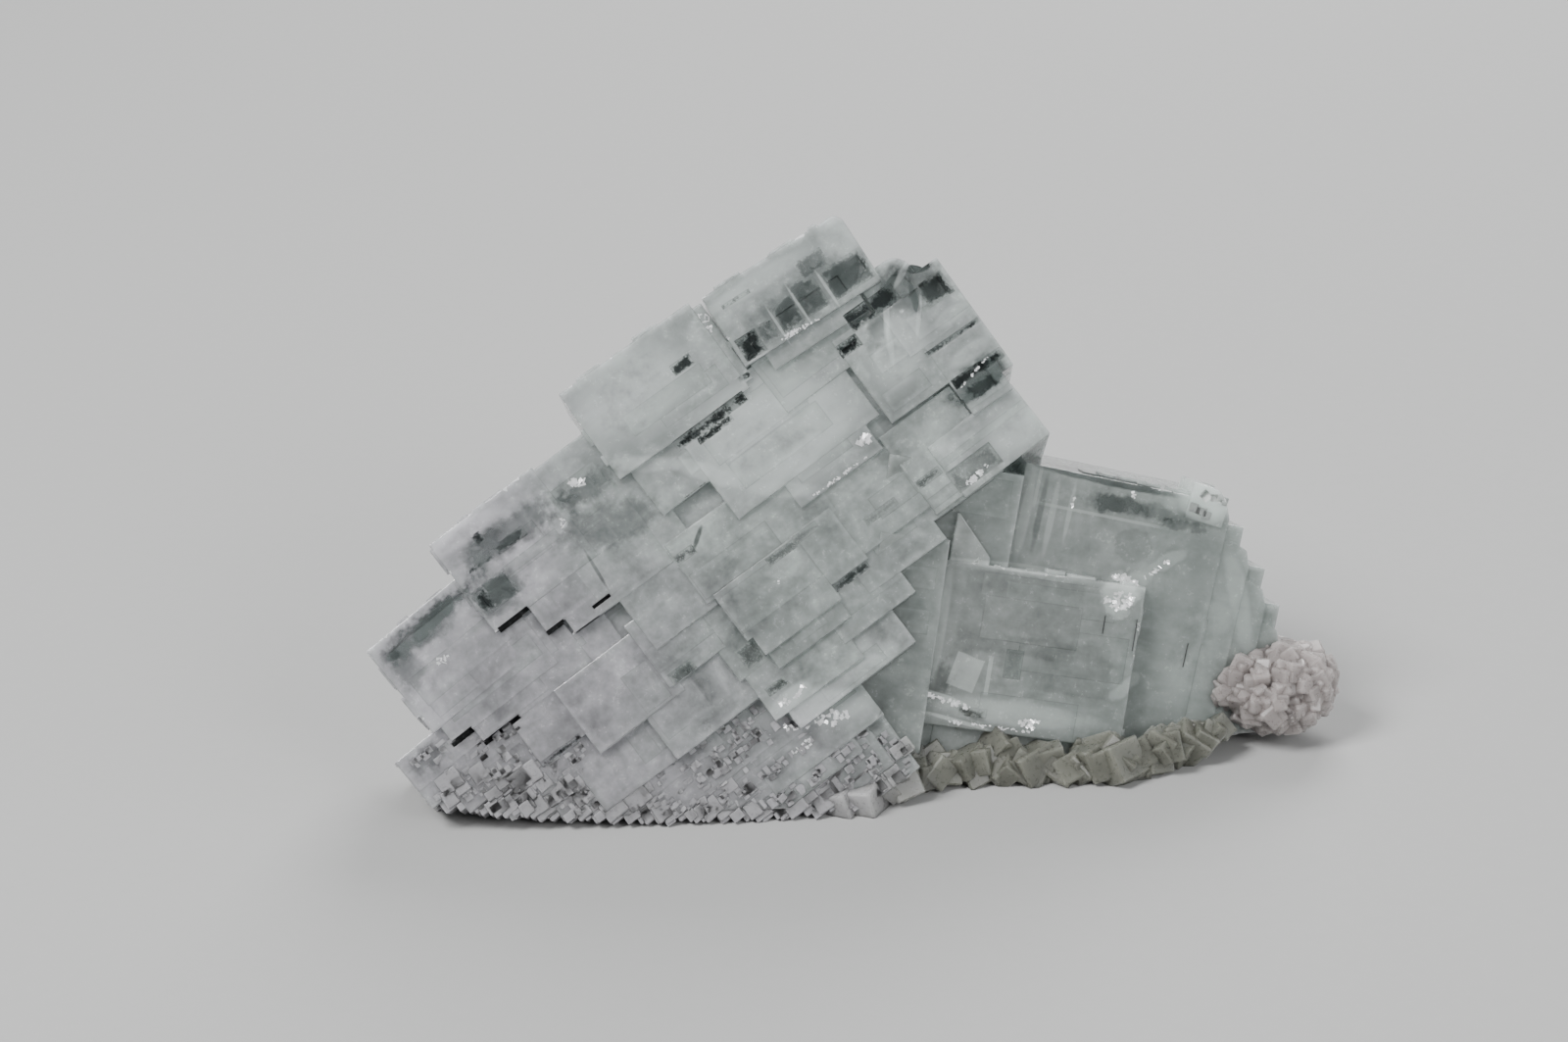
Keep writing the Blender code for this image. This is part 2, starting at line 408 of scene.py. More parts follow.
@dataclass(frozen=True)
class Cube:
    """A crystal's extent in its lattice, in millimetres, and its misfit in degrees."""

    name: str
    along: Span  # left and right sides
    up: Span  # lower and upper sides
    out: Span  # back and front faces
    misfit: float = 0.0  # turn in the front face's plane, raising the right end
    rounded: float = 0.0  # radius of its upper right corner
    corner_steps: int = 7  # how many faces round that corner
    sugar: float = 0.0  # small crystals on a square millimetre of its faces
    chipped: bool = False  # whether its free edges are nicked
    side_free: bool = True  # whether its free edges include one side
    tone: float = 0.5
    tint: float = 0.5

    def size(self) -> Vector:
        """Its length, depth and height."""
        return Vector([high - low for low, high in (self.along, self.out, self.up)])

    def place(self, lattice: Lattice) -> Matrix:
        """Where it is in the specimen's own frame, turned about its middle by its misfit.

        Args:
            lattice: The lattice that it belongs to.

        Returns:
            The place of its middle.
        """
        return (
            lattice.place(sum(self.along) / 2, sum(self.up) / 2, sum(self.out) / 2)
            @ Matrix.Rotation(math.radians(-self.misfit), 4, "Y")
            @ Matrix.Rotation(math.radians(self.misfit * SIDEWAYS_MISFIT), 4, "Z")
        )


@dataclass(frozen=True)
class Patch:
    """A rectangle on a cube's front face that is clearer or rougher than what is round it."""

    cube: str
    along: Span
    up: Span
    clarity: float = 0.0
    tint: float = 0.5
    tone: float = 0.5
    depth: float = 0.02  # how deep it is sunk


@dataclass(frozen=True)
class Veil:
    """A cloud in the crystal that is milkier or clearer, and lighter or darker."""

    along: float
    up: float
    radii: Span  # along and up
    milk: float = 0.0
    light: float = 0.0
    turn: float = 0.0  # in degrees, raising its right end
    ragged: float = 0.9  # how far its border wanders, as a share of its radii
    soft: float = 0.4  # how wide its border is, as a share of its radii
    boxy: bool = False  # whether it is a rectangle instead of an ellipse


@dataclass(frozen=True)
class Flakes:
    """A fractured spot on a cube's front face, made of small bright flakes that are partly painted glints."""

    cube: str
    along: float
    up: float
    radii: Span
    count: int
    size: Span = (0.25, 0.9)
    turn: float = 0.0
    tilt: float = 12.0  # of each flake from the face, in degrees


@dataclass
class Block:
    """A bevelled box, ready to be made: its size, place and look."""

    size: Vector
    place: Matrix
    growth: Growth
    coat: Coat = Coat.CLIMBING
    bevel: float = 0.0
    segments: int = 1
    rounded: float = 0.0
    corner_steps: int = 7


def corner_edge(shape: bmesh.types.BMesh) -> list[bmesh.types.BMEdge]:
    """The one edge of a centred box that runs from back to front at its upper right."""
    return [edge for edge in shape.edges if all(vert.co.x > 0 and vert.co.z > 0 for vert in edge.verts)]


def remember(shape: bmesh.types.BMesh, size: Vector, growth: Growth) -> None:
    """Writes on each face corner how far it is from the crystal's edges, and its growth.

    Args:
        shape: The crystal, centred and unturned, in millimetres.
        size: The crystal's size.
        growth: What its faces remember.
    """
    layers = shape.loops.layers.float_vector
    near, far, grown = (layers.new(name) for name in (NEAR_EDGES, FAR_EDGES, GROWTH))
    for face in shape.faces:
        across = max(AXES, key=lambda axis: abs(face.normal[axis]))
        # Lower sides are made clear, which darkens them: painted shade on the down-facing sides.
        under = across == UP and face.normal.z < 0
        clarity = max(growth.clarity, SHADED_UNDERSIDE_CLARITY) if under else growth.clarity
        first, second = (axis for axis in AXES if axis != across)
        for loop in face.loops:
            at = loop.vert.co
            low = (at[first] + size[first] / 2, at[second] + size[second] / 2)
            high = (size[first] / 2 - at[first], size[second] / 2 - at[second])
            loop[near] = (*low, growth.frost)
            loop[far] = (*high, 0.0)
            loop[grown] = (growth.tone, clarity, growth.tint)


def block_mesh(name: str, block: Block) -> bpy.types.Mesh:
    """Makes a bevelled box in place.

    Args:
        name: The mesh's name.
        block: The box.

    Returns:
        The mesh, in metres in the specimen's own frame.
    """
    shape = bmesh.new()
    bmesh.ops.create_cube(shape, size=1.0)
    bmesh.ops.scale(shape, vec=block.size, verts=shape.verts)
    if block.rounded:
        bmesh.ops.bevel(shape, geom=corner_edge(shape), offset=block.rounded,
                        segments=block.corner_steps, profile=0.5, affect="EDGES", material=-1)
    if block.bevel:
        sharp = [edge for edge in shape.edges if edge.calc_face_angle() > SHARP_ANGLE]
        bmesh.ops.bevel(shape, geom=sharp, offset=block.bevel, segments=block.segments,
                        profile=0.5, affect="EDGES", material=-1)
    remember(shape, block.size, block.growth)
    for face in shape.faces:
        face.material_index = block.coat
    bmesh.ops.transform(shape, matrix=Matrix.Scale(MM, 4) @ block.place, verts=shape.verts)
    mesh = bpy.data.meshes.new(name)
    shape.to_mesh(mesh)
    shape.free()
    return mesh


# ---------------------------------------------------------------------------
# Random turns and small crystals
# ---------------------------------------------------------------------------


def drawn_count(expected: float, rng: random.Random) -> int:
    """A whole number that is as expected on average."""
    return int(expected + rng.random())


def any_turn(rng: random.Random) -> Matrix:
    """A rotation that points anywhere.

    Args:
        rng: Where it is drawn from.

    Returns:
        The rotation.
    """
    turn = Matrix.Identity(4)
    for axis in "XYZ":
        turn = Matrix.Rotation(rng.uniform(0, math.tau), 4, axis) @ turn
    return turn


def slight_turn(most: float, rng: random.Random) -> Matrix:
    """A rotation by a few degrees about each axis.

    Args:
        most: The largest angle, in degrees.
        rng: Where it is drawn from.

    Returns:
        The rotation.
    """
    turn = Matrix.Identity(4)
    for axis in "XYZ":
        turn = Matrix.Rotation(math.radians(rng.uniform(-most, most)), 4, axis) @ turn
    return turn


def small_crystal(place: Vector, size: float, rng: random.Random, bevel: float,
                  turn: Matrix | None = None) -> Block:
    """A small crystal.

    Args:
        place: Its middle, in millimetres.
        size: About how large it is.
        rng: Where its shape and turn are drawn from.
        bevel: Its bevel, as a share of its size.
        turn: Its direction, if it didn't grow in any direction.

    Returns:
        The block.
    """
    sides = Vector([size * rng.uniform(*CRYSTAL_SIDES) for _ in AXES])
    turned = Matrix.Translation(place) @ (any_turn(rng) if turn is None else turn)
    return Block(sides, turned, Growth(rng.random(), frost=CRYSTAL_FROST), bevel=bevel * size)


# ---------------------------------------------------------------------------
# Growing blocks together
# ---------------------------------------------------------------------------


def in_scene(name: str, data: bpy.types.ID) -> bpy.types.Object:
    """Puts a mesh, a light or a camera in the scene.

    Args:
        name: The object's name.
        data: What the object shows.

    Returns:
        The object.
    """
    made = bpy.data.objects.new(name, data)
    bpy.context.scene.collection.objects.link(made)
    return made


class Grower:
    """Grows blocks together, or cuts them out, into one closed mesh."""

    def __init__(self, name: str, blocks: Iterable[Block], materials: Sequence[bpy.types.Material]) -> None:
        """Starts with the union of some blocks.

        Args:
            name: The name of the piece.
            blocks: The blocks that grow together.
            materials: The materials of the piece, in the order that the blocks' coats number them.
        """
        self.name = name
        self.materials = materials
        first, *rest = blocks
        self.piece = in_scene(name, self._mesh(name, first))
        self._boolean("UNION", rest)

    def _mesh(self, name: str, block: Block) -> bpy.types.Mesh:
        """Makes a block into a mesh with the piece's materials.

        Args:
            name: The mesh's name.
            block: The block.

        Returns:
            The mesh.
        """
        mesh = block_mesh(name, block)
        for material in self.materials:
            mesh.materials.append(material)
        return mesh

    def _boolean(self, operation: str, blocks: Iterable[Block]) -> None:
        """Joins blocks to the piece or cuts them from it, and keeps the result.

        Args:
            operation: UNION or DIFFERENCE.
            blocks: The blocks.
        """
        helpers = bpy.data.collections.new("helpers")
        bpy.context.scene.collection.children.link(helpers)
        for block in blocks:
            helpers.objects.link(bpy.data.objects.new("helper", self._mesh("helper", block)))
        modifier = self.piece.modifiers.new(operation, "BOOLEAN")
        modifier.operation = operation
        modifier.solver = "MANIFOLD"
        modifier.operand_type = "COLLECTION"
        modifier.collection = helpers
        seen = self.piece.evaluated_get(bpy.context.evaluated_depsgraph_get())
        old = self.piece.data
        grown = bpy.data.meshes.new_from_object(seen)
        self.piece.modifiers.clear()
        self.piece.data = grown
        bpy.data.meshes.remove(old)
        for helper in list(helpers.objects):
            bpy.data.meshes.remove(helper.data)
        bpy.data.collections.remove(helpers)
        grown.name = self.name

    def cut(self, blocks: Iterable[Block]) -> None:
        """Cuts blocks out of the piece."""
        self._boolean("DIFFERENCE", blocks)

    def cut_below(self, height: float) -> None:
        """Cuts off what is below a height, in millimetres."""
        place = Matrix.Translation((0, 0, height - CUTTER_SIZE / 2))
        self.cut([Block(Vector((CUTTER_SIZE,) * 3), place, Growth(frost=1.0))])


def cut_mesh_below(mesh: bpy.types.Mesh, height: float) -> None:
    """Cuts a closed convex mesh off flat at a height, if it reaches below it.

    Args:
        mesh: The mesh, in metres.
        height: The height, in metres.
    """
    if min(vert.co.z for vert in mesh.vertices) >= height:
        return
    shape = bmesh.new()
    shape.from_mesh(mesh)
    cut = bmesh.ops.bisect_plane(shape, geom=[*shape.verts, *shape.edges, *shape.faces],
                                 plane_co=(0, 0, height), plane_no=(0, 0, -1), clear_outer=True)
    rim = [part for part in cut["geom_cut"] if isinstance(part, bmesh.types.BMEdge)]
    bmesh.ops.edgeloop_fill(shape, edges=rim)
    bmesh.ops.recalc_face_normals(shape, faces=shape.faces)
    shape.to_mesh(mesh)
    shape.free()


def heap(name: str, blocks: Iterable[Block], material: bpy.types.Material) -> bpy.types.Object:
    """Joins small crystals in one piece, and cuts them off flat where they rest.

    Args:
        name: The name of the piece.
        blocks: The crystals.
        material: The material of the piece.

    Returns:
        The piece.
    """
    whole = bmesh.new()
    for block in blocks:
        mesh = block_mesh(name, block)
        cut_mesh_below(mesh, 0.0)
        if mesh.vertices:
            whole.from_mesh(mesh)
        bpy.data.meshes.remove(mesh)
    for face in whole.faces:
        face.material_index = 0
    joined = bpy.data.meshes.new(name)
    whole.to_mesh(joined)
    whole.free()
    joined.materials.append(material)
    return in_scene(name, joined)


def ready(piece: bpy.types.Object) -> bpy.types.Object:
    """Makes a finished piece ride on the specimen, and reports it.

    Args:
        piece: The piece, at the origin, with its place in its mesh.

    Returns:
        The same piece.
    """
    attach(piece, BODY)
    piece.data.calc_loop_triangles()
    LOG.info("%s: %d triangles", piece.name, len(piece.data.loop_triangles))
    return piece


# ---------------------------------------------------------------------------
# Finishes
# ---------------------------------------------------------------------------


@dataclass(frozen=True)
class FluoriteFinish:
    """Milky fluorite with clear windows, growth lines, clouds and dust.

    Clear fluorite lies under a milky skin, whose thickness is the Mix Shader's factor.
    """

    name: str
    lattice: Lattice
    veils: Sequence[Veil]
    lilac: Colour
    green: Colour
    milk: float  # share of milk in a plain face
    lilac_side: float  # how far along the lattice the lilac side ends, in millimetres
    contrast: float = 1.0  # how strong the clouds are

    scatter: float = 5.0  # how far light scatters in the milk, in millimetres
    milk_transmission: float = 0.1
    # Near black inside a window: painted shade for the dark seen through clear fluorite.
    window_shade: Colour = (0.035, 0.038, 0.04)
    water: Colour = (0.80, 0.84, 0.83)
    window_shade_curve: float = 0.7  # how soon a window turns from water to painted shade
    absorb_colour: Colour = (0.58, 0.64, 0.63)
    absorb_density: float = 110.0

    # The veils.
    front: float = 20.0  # how far out they are, in millimetres
    veil_depth: float = 9.0  # how far they reach behind and in front of that
    veil_border: float = 0.95  # where their border is, in radii
    veil_wander: float = 2.6  # how far noise moves it
    drift_shares: Span = (0.6, 0.4)  # of cloud and mottle in that noise

    # The border between lilac and green.
    side_width: float = 24.0  # in millimetres
    side_wander: float = 40.0  # how far noise moves it, in millimetres
    side_tint: float = 0.8  # how much of the green side's tint shows
    own_tint: float = 0.9  # how much of a crystal's own tint shows

    side: Noise = Noise(0.06, 2.0)
    cloud: Noise = Noise(0.15, 4.0, 0.62, 0.4)
    mottle: Noise = Noise(0.75, 3.0, 0.62)
    streak: Noise = Noise(0.9, 2.0, 0.6)
    dust: Noise = Noise(3.4, 2.0, 0.7)
    grain: Noise = Noise(2.6, 3.0, 0.65)
    streak_stretch: float = 0.16  # of the lattice's length, where the streaks are read

    # How far from the edges, in millimetres, or at which noise, each mark comes or goes.
    window_edge: Span = (0.0, 0.55)
    seam_edge: Span = (0.16, 0.03)
    trace_edge: Span = (1.0, 0.2)
    trace_cloud: Span = (0.47, 0.58)
    rim_edge: Span = (0.8, 0.1)
    rim_cloud: Span = (0.53, 0.42)
    speck_dust: Span = (0.52, 0.70)
    dull_grain: Span = (0.42, 0.72)
    dull_mottle: Span = (0.5, 0.7)
    window_wander: Span = (1.9, 1.3)  # how far mottle and dust move a window's edge

    # How much each adds to the milk or takes from it.
    cloud_swing: float = 1.1
    mottle_swing: float = 0.5
    window_milk: float = 1.05
    frost_milk: float = 0.5
    speck_milk: float = 0.55

    # How light the milk is, and how much each adds to that or takes from it.
    lightness: float = 0.86
    least_light: float = 0.12
    tone_light: float = 0.40
    streak_light: float = 0.28
    seam_light: float = 0.14
    trace_light: float = 0.10
    rim_light: float = 0.16
    # Darker milk inside windows is painted shade.
    window_light: float = 0.45
    speck_light: float = 0.35
    trace_tint: float = 3.0  # how much greener a growth line is than it is dark

    # How rough the faces are, and how much each adds to that or takes from it.
    roughness: float = 0.10
    grain_rough: float = 0.18
    mottle_rough: float = 0.12
    frost_rough: float = 0.3
    window_rough: float = 0.05
    clear_rough: float = 0.6  # of the clear part, as a share of the milky part's
    grain_height: float = 0.15
    streak_height: float = 0.3
    bump_depth: float = 0.02  # in millimetres

    def cloudiness(self, tree: Tree, here: bpy.types.NodeSocket, drift: Value) -> tuple[Value, Value]:
        """How much milk and light the veils add.

        Args:
            tree: The material's tree.
            here: Lattice coordinates, in millimetres.
            drift: Noise around 0.5 that makes the veils' borders wander.

        Returns:
            The added milk and the added light.
        """
        milk, light = drift * 0.0, drift * 0.0
        for veil in self.veils:
            inputs = {
                "Vector": here,
                "Location": (veil.along, -self.front, veil.up),
                "Rotation": (0.0, math.radians(-veil.turn), 0.0),
                "Scale": (veil.radii[0], self.veil_depth, veil.radii[1]),
            }
            inner = tree.node("Mapping", {"vector_type": "TEXTURE"}, inputs).outputs[0]
            reach = tree.reach(inner, veil.boxy) + drift.swing(self.veil_wander * veil.ragged)
            mask = reach.ramp(self.veil_border + veil.soft / 2, self.veil_border - veil.soft)
            milk = milk + mask * veil.milk
            light = light + mask * veil.light
        return milk, light

    def colour(self, tree: Tree, here: bpy.types.NodeSocket,
               light: Value, tint: Value) -> bpy.types.NodeSocket:
        """The milk's colour: lilac on one side, green on the other.

        Args:
            tree: The material's tree.
            here: Lattice coordinates, in millimetres.
            light: How light it is.
            tint: Each crystal's own tint.

        Returns:
            The colour's socket.
        """
        along, _, _ = tree.parts(here)
        wander = tree.noise(here, self.side).swing(self.side_wander)
        side = (along + wander).ramp(self.lilac_side, self.lilac_side + self.side_width)
        greenness = (side * self.side_tint + tint.swing(self.own_tint)).clamp()
        return tree.shaded(tree.mix(greenness, self.lilac, self.green), light)

    def clear(self, tree: Tree, window: Value, gloss: Value,
              normal: bpy.types.NodeSocket) -> bpy.types.NodeSocket:
        """Clear fluorite, which lets all light through to what it shades; inside windows its tint turns near
        black, painted shade.

        Args:
            tree: The material's tree.
            window: How far inside a window a point is, from 0 to 1.
            gloss: How rough the milky part is there.
            normal: The bent normal.

        Returns:
            The shader's socket.
        """
        glass = tree.principled(
            Base_Color=tree.mix(window.math("POWER", self.window_shade_curve), self.water, self.window_shade),
            Roughness=(gloss * self.clear_rough).clamp(),
            IOR=IOR,
            Transmission_Weight=1.0,
            Normal=normal,
        )
        lamp = tree.node("LightPath").outputs["Is Shadow Ray"]
        through = tree.node("BsdfTransparent", None, {"Color": (*self.water, 1.0)}).outputs[0]
        return tree.mix_shaders(lamp, glass, through)

    def material(self) -> bpy.types.Material:
        """Builds the finish.

        Returns:
            The material.
        """
        tree = Tree(self.name)
        turn = self.lattice.matrix()
        here = tree.coordinates(turn)
        ribbons = tree.coordinates(turn, (self.streak_stretch, 1.0, 1.0))
        tone, clarity, tint = tree.attribute(GROWTH)
        near_first, near_second, frost = tree.attribute(NEAR_EDGES)
        far_first, far_second, _ = tree.attribute(FAR_EDGES)
        edge = near_first.least(near_second).least(far_first.least(far_second))

        cloud = tree.noise(here, self.cloud)
        mottle = tree.noise(here, self.mottle)
        streak = tree.noise(ribbons, self.streak)
        dust = tree.noise(here, self.dust)
        grain = tree.noise(here, self.grain)
        drift = cloud * self.drift_shares[0] + mottle * self.drift_shares[1]
        veil_milk, veil_light = self.cloudiness(tree, here, drift)

        soft_edge = edge + mottle.swing(self.window_wander[0]) + dust.swing(self.window_wander[1])
        window = clarity * soft_edge.ramp(*self.window_edge)
        seam = edge.ramp(*self.seam_edge) * self.seam_light
        trace = edge.ramp(*self.trace_edge) * cloud.ramp(*self.trace_cloud) * self.trace_light
        rim = edge.ramp(*self.rim_edge) * cloud.ramp(*self.rim_cloud) * self.rim_light
        specks = dust.ramp(*self.speck_dust)
        clouds = (cloud.swing(self.cloud_swing * self.contrast)
                  + mottle.swing(self.mottle_swing * self.contrast))
        # Windows thin the milk and darken it; the darkening is painted shade.
        milk = (self.milk + veil_milk + clouds - window * self.window_milk
                + frost * self.frost_milk + window * specks * self.speck_milk).clamp()
        light = (self.lightness + tone.swing(self.tone_light) + veil_light + clouds
                 + streak.swing(self.streak_light) - seam - trace + rim
                 - window * self.window_light + specks * window * self.speck_light)

        height = grain * (self.grain_height + frost) + streak * self.streak_height
        normal = tree.bump(height, self.bump_depth)
        gloss = (self.roughness + grain.ramp(*self.dull_grain) * self.grain_rough
                 + mottle.ramp(*self.dull_mottle) * self.mottle_rough
                 + frost * self.frost_rough - window * self.window_rough).clamp()
        milky = tree.principled(
            Base_Color=self.colour(tree, here, light.most(self.least_light),
                                   tint + trace * self.trace_tint),
            Roughness=gloss,
            IOR=IOR,
            Subsurface_Weight=1.0,
            Subsurface_Radius=EVEN,
            Subsurface_Scale=self.scatter * MM,
            Transmission_Weight=self.milk_transmission,
            Normal=normal,
        )
        surface = tree.mix_shaders(milk, self.clear(tree, window, gloss, normal), milky)
        inside = {"Color": (*self.absorb_colour, 1.0), "Density": self.absorb_density}
        return tree.finish(surface, tree.node("VolumeAbsorption", None, inside).outputs[0])


@dataclass(frozen=True)
class SlotFinish:
    """The deep narrow slots between steps, whose near-black colour is painted shade."""

    name: str
    # Both colours are painted shade, varied by noise.
    deep: Colour = (0.012, 0.013, 0.014)
    lighter_slot_shade: Colour = (0.10, 0.105, 0.105)
    grain: Noise = Noise(1.8, 4.0, 0.7)
    slot_shade_mottle: Span = (0.5, 0.75)  # at which noise the deep painted shade turns into the lighter one
    roughness: float = 0.25
    grain_rough: float = 0.3
    grain_depth: float = 0.06  # in millimetres

    def material(self) -> bpy.types.Material:
        """Builds the finish.

        Returns:
            The material.
        """
        tree = Tree(self.name)
        grain = tree.noise(tree.coordinates(CLIMBING.matrix()), self.grain)
        surface = tree.principled(
            Base_Color=tree.mix(grain.ramp(*self.slot_shade_mottle), self.deep, self.lighter_slot_shade),
            Roughness=self.roughness + grain * self.grain_rough,
            IOR=IOR,
            Normal=tree.bump(grain, self.grain_depth),
        )
        return tree.finish(surface)


@dataclass(frozen=True)
class BrokenFinish:
    """Broken or sugary fluorite, which scatters light in many small crystals."""

    name: str
    left: Colour
    right: Colour
    turning: Span  # where the left colour turns into the right one, in millimetres along X
    roughness: float = 0.30
    transmission: float = 0.15
    scatter: float = 1.6  # how far light scatters, in millimetres
    grain_depth: float = 0.01  # in millimetres
    contrast: float = 0.35
    mirror: float = 0.0  # share of fractures that reflect all the light
    painted_glow: float = 0.0  # painted glow of its fractures
    cloud: Noise = Noise(0.28, 5.0, 0.62, 0.3)
    grain: Noise = Noise(2.2, 4.0, 0.65)
    wander: float = 14.0  # how far noise moves the turning, in millimetres
    lightness: float = 0.85
    tone_light: float = 0.25
    grain_light: float = 0.3
    grain_rough: float = 0.3

    def material(self) -> bpy.types.Material:
        """Builds the finish.

        Returns:
            The material.
        """
        tree = Tree(self.name)
        here = tree.coordinates(Matrix.Identity(4))
        across, _, _ = tree.parts(here)
        tone, _, _ = tree.attribute(GROWTH)
        cloud = tree.noise(here, self.cloud)
        grain = tree.noise(here, self.grain)
        side = (across + cloud.swing(self.wander)).ramp(*self.turning)
        light = (self.lightness + tone.swing(self.tone_light) + cloud.swing(2 * self.contrast)
                 + grain.swing(self.grain_light))
        surface = tree.principled(
            Base_Color=tree.shaded(tree.mix(side, self.left, self.right), light),
            Roughness=(self.roughness + grain.swing(self.grain_rough)).clamp(),
            Metallic=self.mirror,
            # The emission is a painted glow, used by the bright flakes.
            Emission_Color=(*self.left, 1.0),
            Emission_Strength=self.painted_glow,
            IOR=IOR,
            Subsurface_Weight=1.0,
            Subsurface_Radius=EVEN,
            Subsurface_Scale=self.scatter * MM,
            Transmission_Weight=self.transmission,
            Normal=tree.bump(grain, self.grain_depth),
        )
        return tree.finish(surface)


# ---------------------------------------------------------------------------
# The two groups of cubes
# ---------------------------------------------------------------------------

CLIMBING = Lattice(turn=-1.0, lean=29.8, climb=34.4)
UPRIGHT = Lattice(turn=6.5, lean=14.0, climb=-16.2)

CLIMBING_CUBES = (
    # The lowest row, whose lower corners follow the slope of the base.
    Cube("low_left", (-41.5, -29), (20.3, 26.5), (3, 17.6), 3.5, sugar=0.3),
    Cube("low_left_inner", (-38.6, -26), (17.5, 24), (0, 17.5), 2.5, sugar=0.7),
    Cube("low_left_foot", (-35.5, -22), (14.2, 22), (-2, 17.4), 1.5, sugar=0.8),
    Cube("low_second", (-31.2, -17), (10.6, 20), (-4, 17.3), 2.0, sugar=0.8),
    Cube("low_second_foot", (-27.2, -13), (7.4, 16), (-6, 17.2), 1.0, sugar=0.8),
    Cube("low_third", (-23.2, -9), (4.2, 13), (-7, 17.1), 1.4, sugar=0.8),
    Cube("low_third_foot", (-18.6, -5), (1.2, 10), (-8, 17), 0.6, sugar=0.8),
    Cube("low_fourth", (-14.6, -2), (-1.8, 7), (-9, 16.9), 1.0, sugar=0.8),
    Cube("low_fourth_foot", (-10.6, 0), (-4.6, 4), (-9, 16.6), -0.4, sugar=0.8),
    Cube("low_fifth", (-6.4, 2), (-6.4, 3), (-9, 16.3), -1.0, sugar=0.8),
    # The fourth cube from the top, with its stepped lower side.
    Cube("fourth", (-37, -24), (26.5, 37.6), (4, 18.2), 3.4, chipped=True),
    Cube("fourth_step_a", (-35.7, -22), (24.2, 33.3), (3, 18.1), 1.6),
    Cube("fourth_step_b", (-33, -19), (22.2, 30.3), (2, 18), 1.2),
    Cube("fourth_step_c", (-29.5, -15), (16.7, 26), (0, 17.9), 0.5),
    # The third cube.
    Cube("third", (-25.4, -12), (30.8, 42.4), (7, 18.8), 1.2, chipped=True),
    Cube("third_step_a", (-21, -9), (27.6, 38.7), (5, 18.7), 0.5),
    Cube("third_step_b", (-18.6, -6), (25.7, 36.7), (4, 18.7), -0.3),
    Cube("third_inner", (-15, -3), (26.7, 42.2), (6, 18.7), 0.8),
    # The second cube.
    Cube("second", (-5.4, 11.2), (35.7, 46.8), (7, 19.6), -0.8, tone=0.7, chipped=True),
    Cube("second_right", (6.5, 12.2), (36.3, 46), (8, 19.5), -2.0, tone=0.65),
    Cube("second_lower", (-4.2, 6.4), (30.2, 41), (6, 19.1), 0.6, tone=0.6),
    # The topmost cube.
    Cube("top", (12.4, 29.3), (36.9, 45.5), (8, 20.5), -4.0, rounded=1.2, chipped=True),
    Cube("top_lower", (14.6, 26.3), (35.1, 41.4), (7, 19.9), -3.0),
    # The bright face in the middle and what carries it.
    Cube("middle", (1.9, 20.2), (25.2, 37.3), (4, 19.2), 0.4, tone=0.75),
    Cube("middle_lower", (7.9, 18.5), (22.2, 32), (4, 19.1), -0.4, tone=0.65),
    Cube("middle_right", (12.6, 23.8), (31.1, 37.7), (8, 19.3), 0.9, tone=0.55),
    # The cubes on the right shoulder.
    Cube("shoulder", (28.2, 34.8), (21.2, 35.1), (6, 19.6), -1.6),
    Cube("shoulder_inner", (20.8, 34.2), (23.6, 34.3), (6, 19.5), -0.8, tint=0.6),
    Cube("shoulder_cap", (26.5, 32.2), (28, 38), (7, 19.6), -1.2, rounded=2.0),
    Cube("shoulder_corner", (26.8, 33.5), (26.9, 36.7), (7, 19.5), -1.6, rounded=3.0),
    Cube("shoulder_side", (28.2, 33.2), (19.2, 24.9), (5, 19.5), -2.0),
    Cube("shoulder_foot", (22.1, 33.2), (13, 19.6), (4, 19.2), 0.8, tone=0.6),
    Cube("shoulder_plate", (18.7, 27.9), (13.3, 23.4), (3, 19), 0.3, tint=0.7),
    # The terraces between the lower row and the bright face.
    Cube("terrace_square", (-4.9, 5.6), (12.1, 20.4), (2, 19), 0.2, tone=0.55, tint=0.65),
    Cube("terrace_sill", (-3.9, 5.4), (10.1, 13.5), (1, 18.7), -0.2, tone=0.3, tint=0.9),
    Cube("terrace_right", (4.9, 10.3), (13.9, 20.6), (2, 18.9), 0.5, tone=0.55, tint=0.7),
    Cube("terrace_far_right", (9.3, 19.4), (14.4, 22.5), (3, 18.8), -0.3, tint=0.7),
    Cube("terrace_upper", (-5.9, 10.8), (19.9, 27.6), (3, 18.8), -0.4, tint=0.7),
    Cube("terrace_left", (-13, -5), (19.3, 28.5), (3, 18.6), 0.4, tint=0.6),
    Cube("terrace_low_left", (-24, -13), (14.2, 22.4), (0, 18.2), 0.8),
    Cube("terrace_low_middle", (-14.2, -7), (15.3, 23.4), (0, 18.4), 0.6, tint=0.6),
    Cube("terrace_between", (-8, -4), (11.5, 20.5), (0, 18.3), 0.3, tone=0.4, tint=0.9),
    Cube("terrace_foot_left", (-18, -6), (9, 16.2), (-3, 18), 0.9),
    Cube("terrace_foot_middle", (-7.3, 4), (6, 12.2), (-4, 18.3), -0.7, tint=0.7),
    Cube("terrace_foot_right", (3, 12.2), (8.2, 16.3), (-4, 18.4), 0.4, tint=0.6),
    Cube("terrace_edge", (8.3, 18.2), (10.8, 16.4), (-4, 18.5), -0.6, tint=0.6),
    # The body that the visible cubes grew on, and the steps of its back.
    Cube("body_left", (-27, -2), (9, 31), (-1, 17.4)),
    Cube("body_low", (-12, 2), (0, 14), (-8, 17), 0.4),
    Cube("body_middle", (-6, 9), (4, 31), (-3, 18), 0.7),
    Cube("body_right", (4, 26), (13, 33), (2, 18.5), -0.6),
    Cube("back_left", (-30, -14), (14, 30), (-6, 8), 2.1),
    Cube("back_middle", (-16, 5), (10, 29), (-9, 10), -1.6),
    Cube("back_upper", (-2, 15), (22, 36), (3, 15), 1.4),
    Cube("back_right", (6, 23), (6, 24), (-6, 6), 1.1),
)

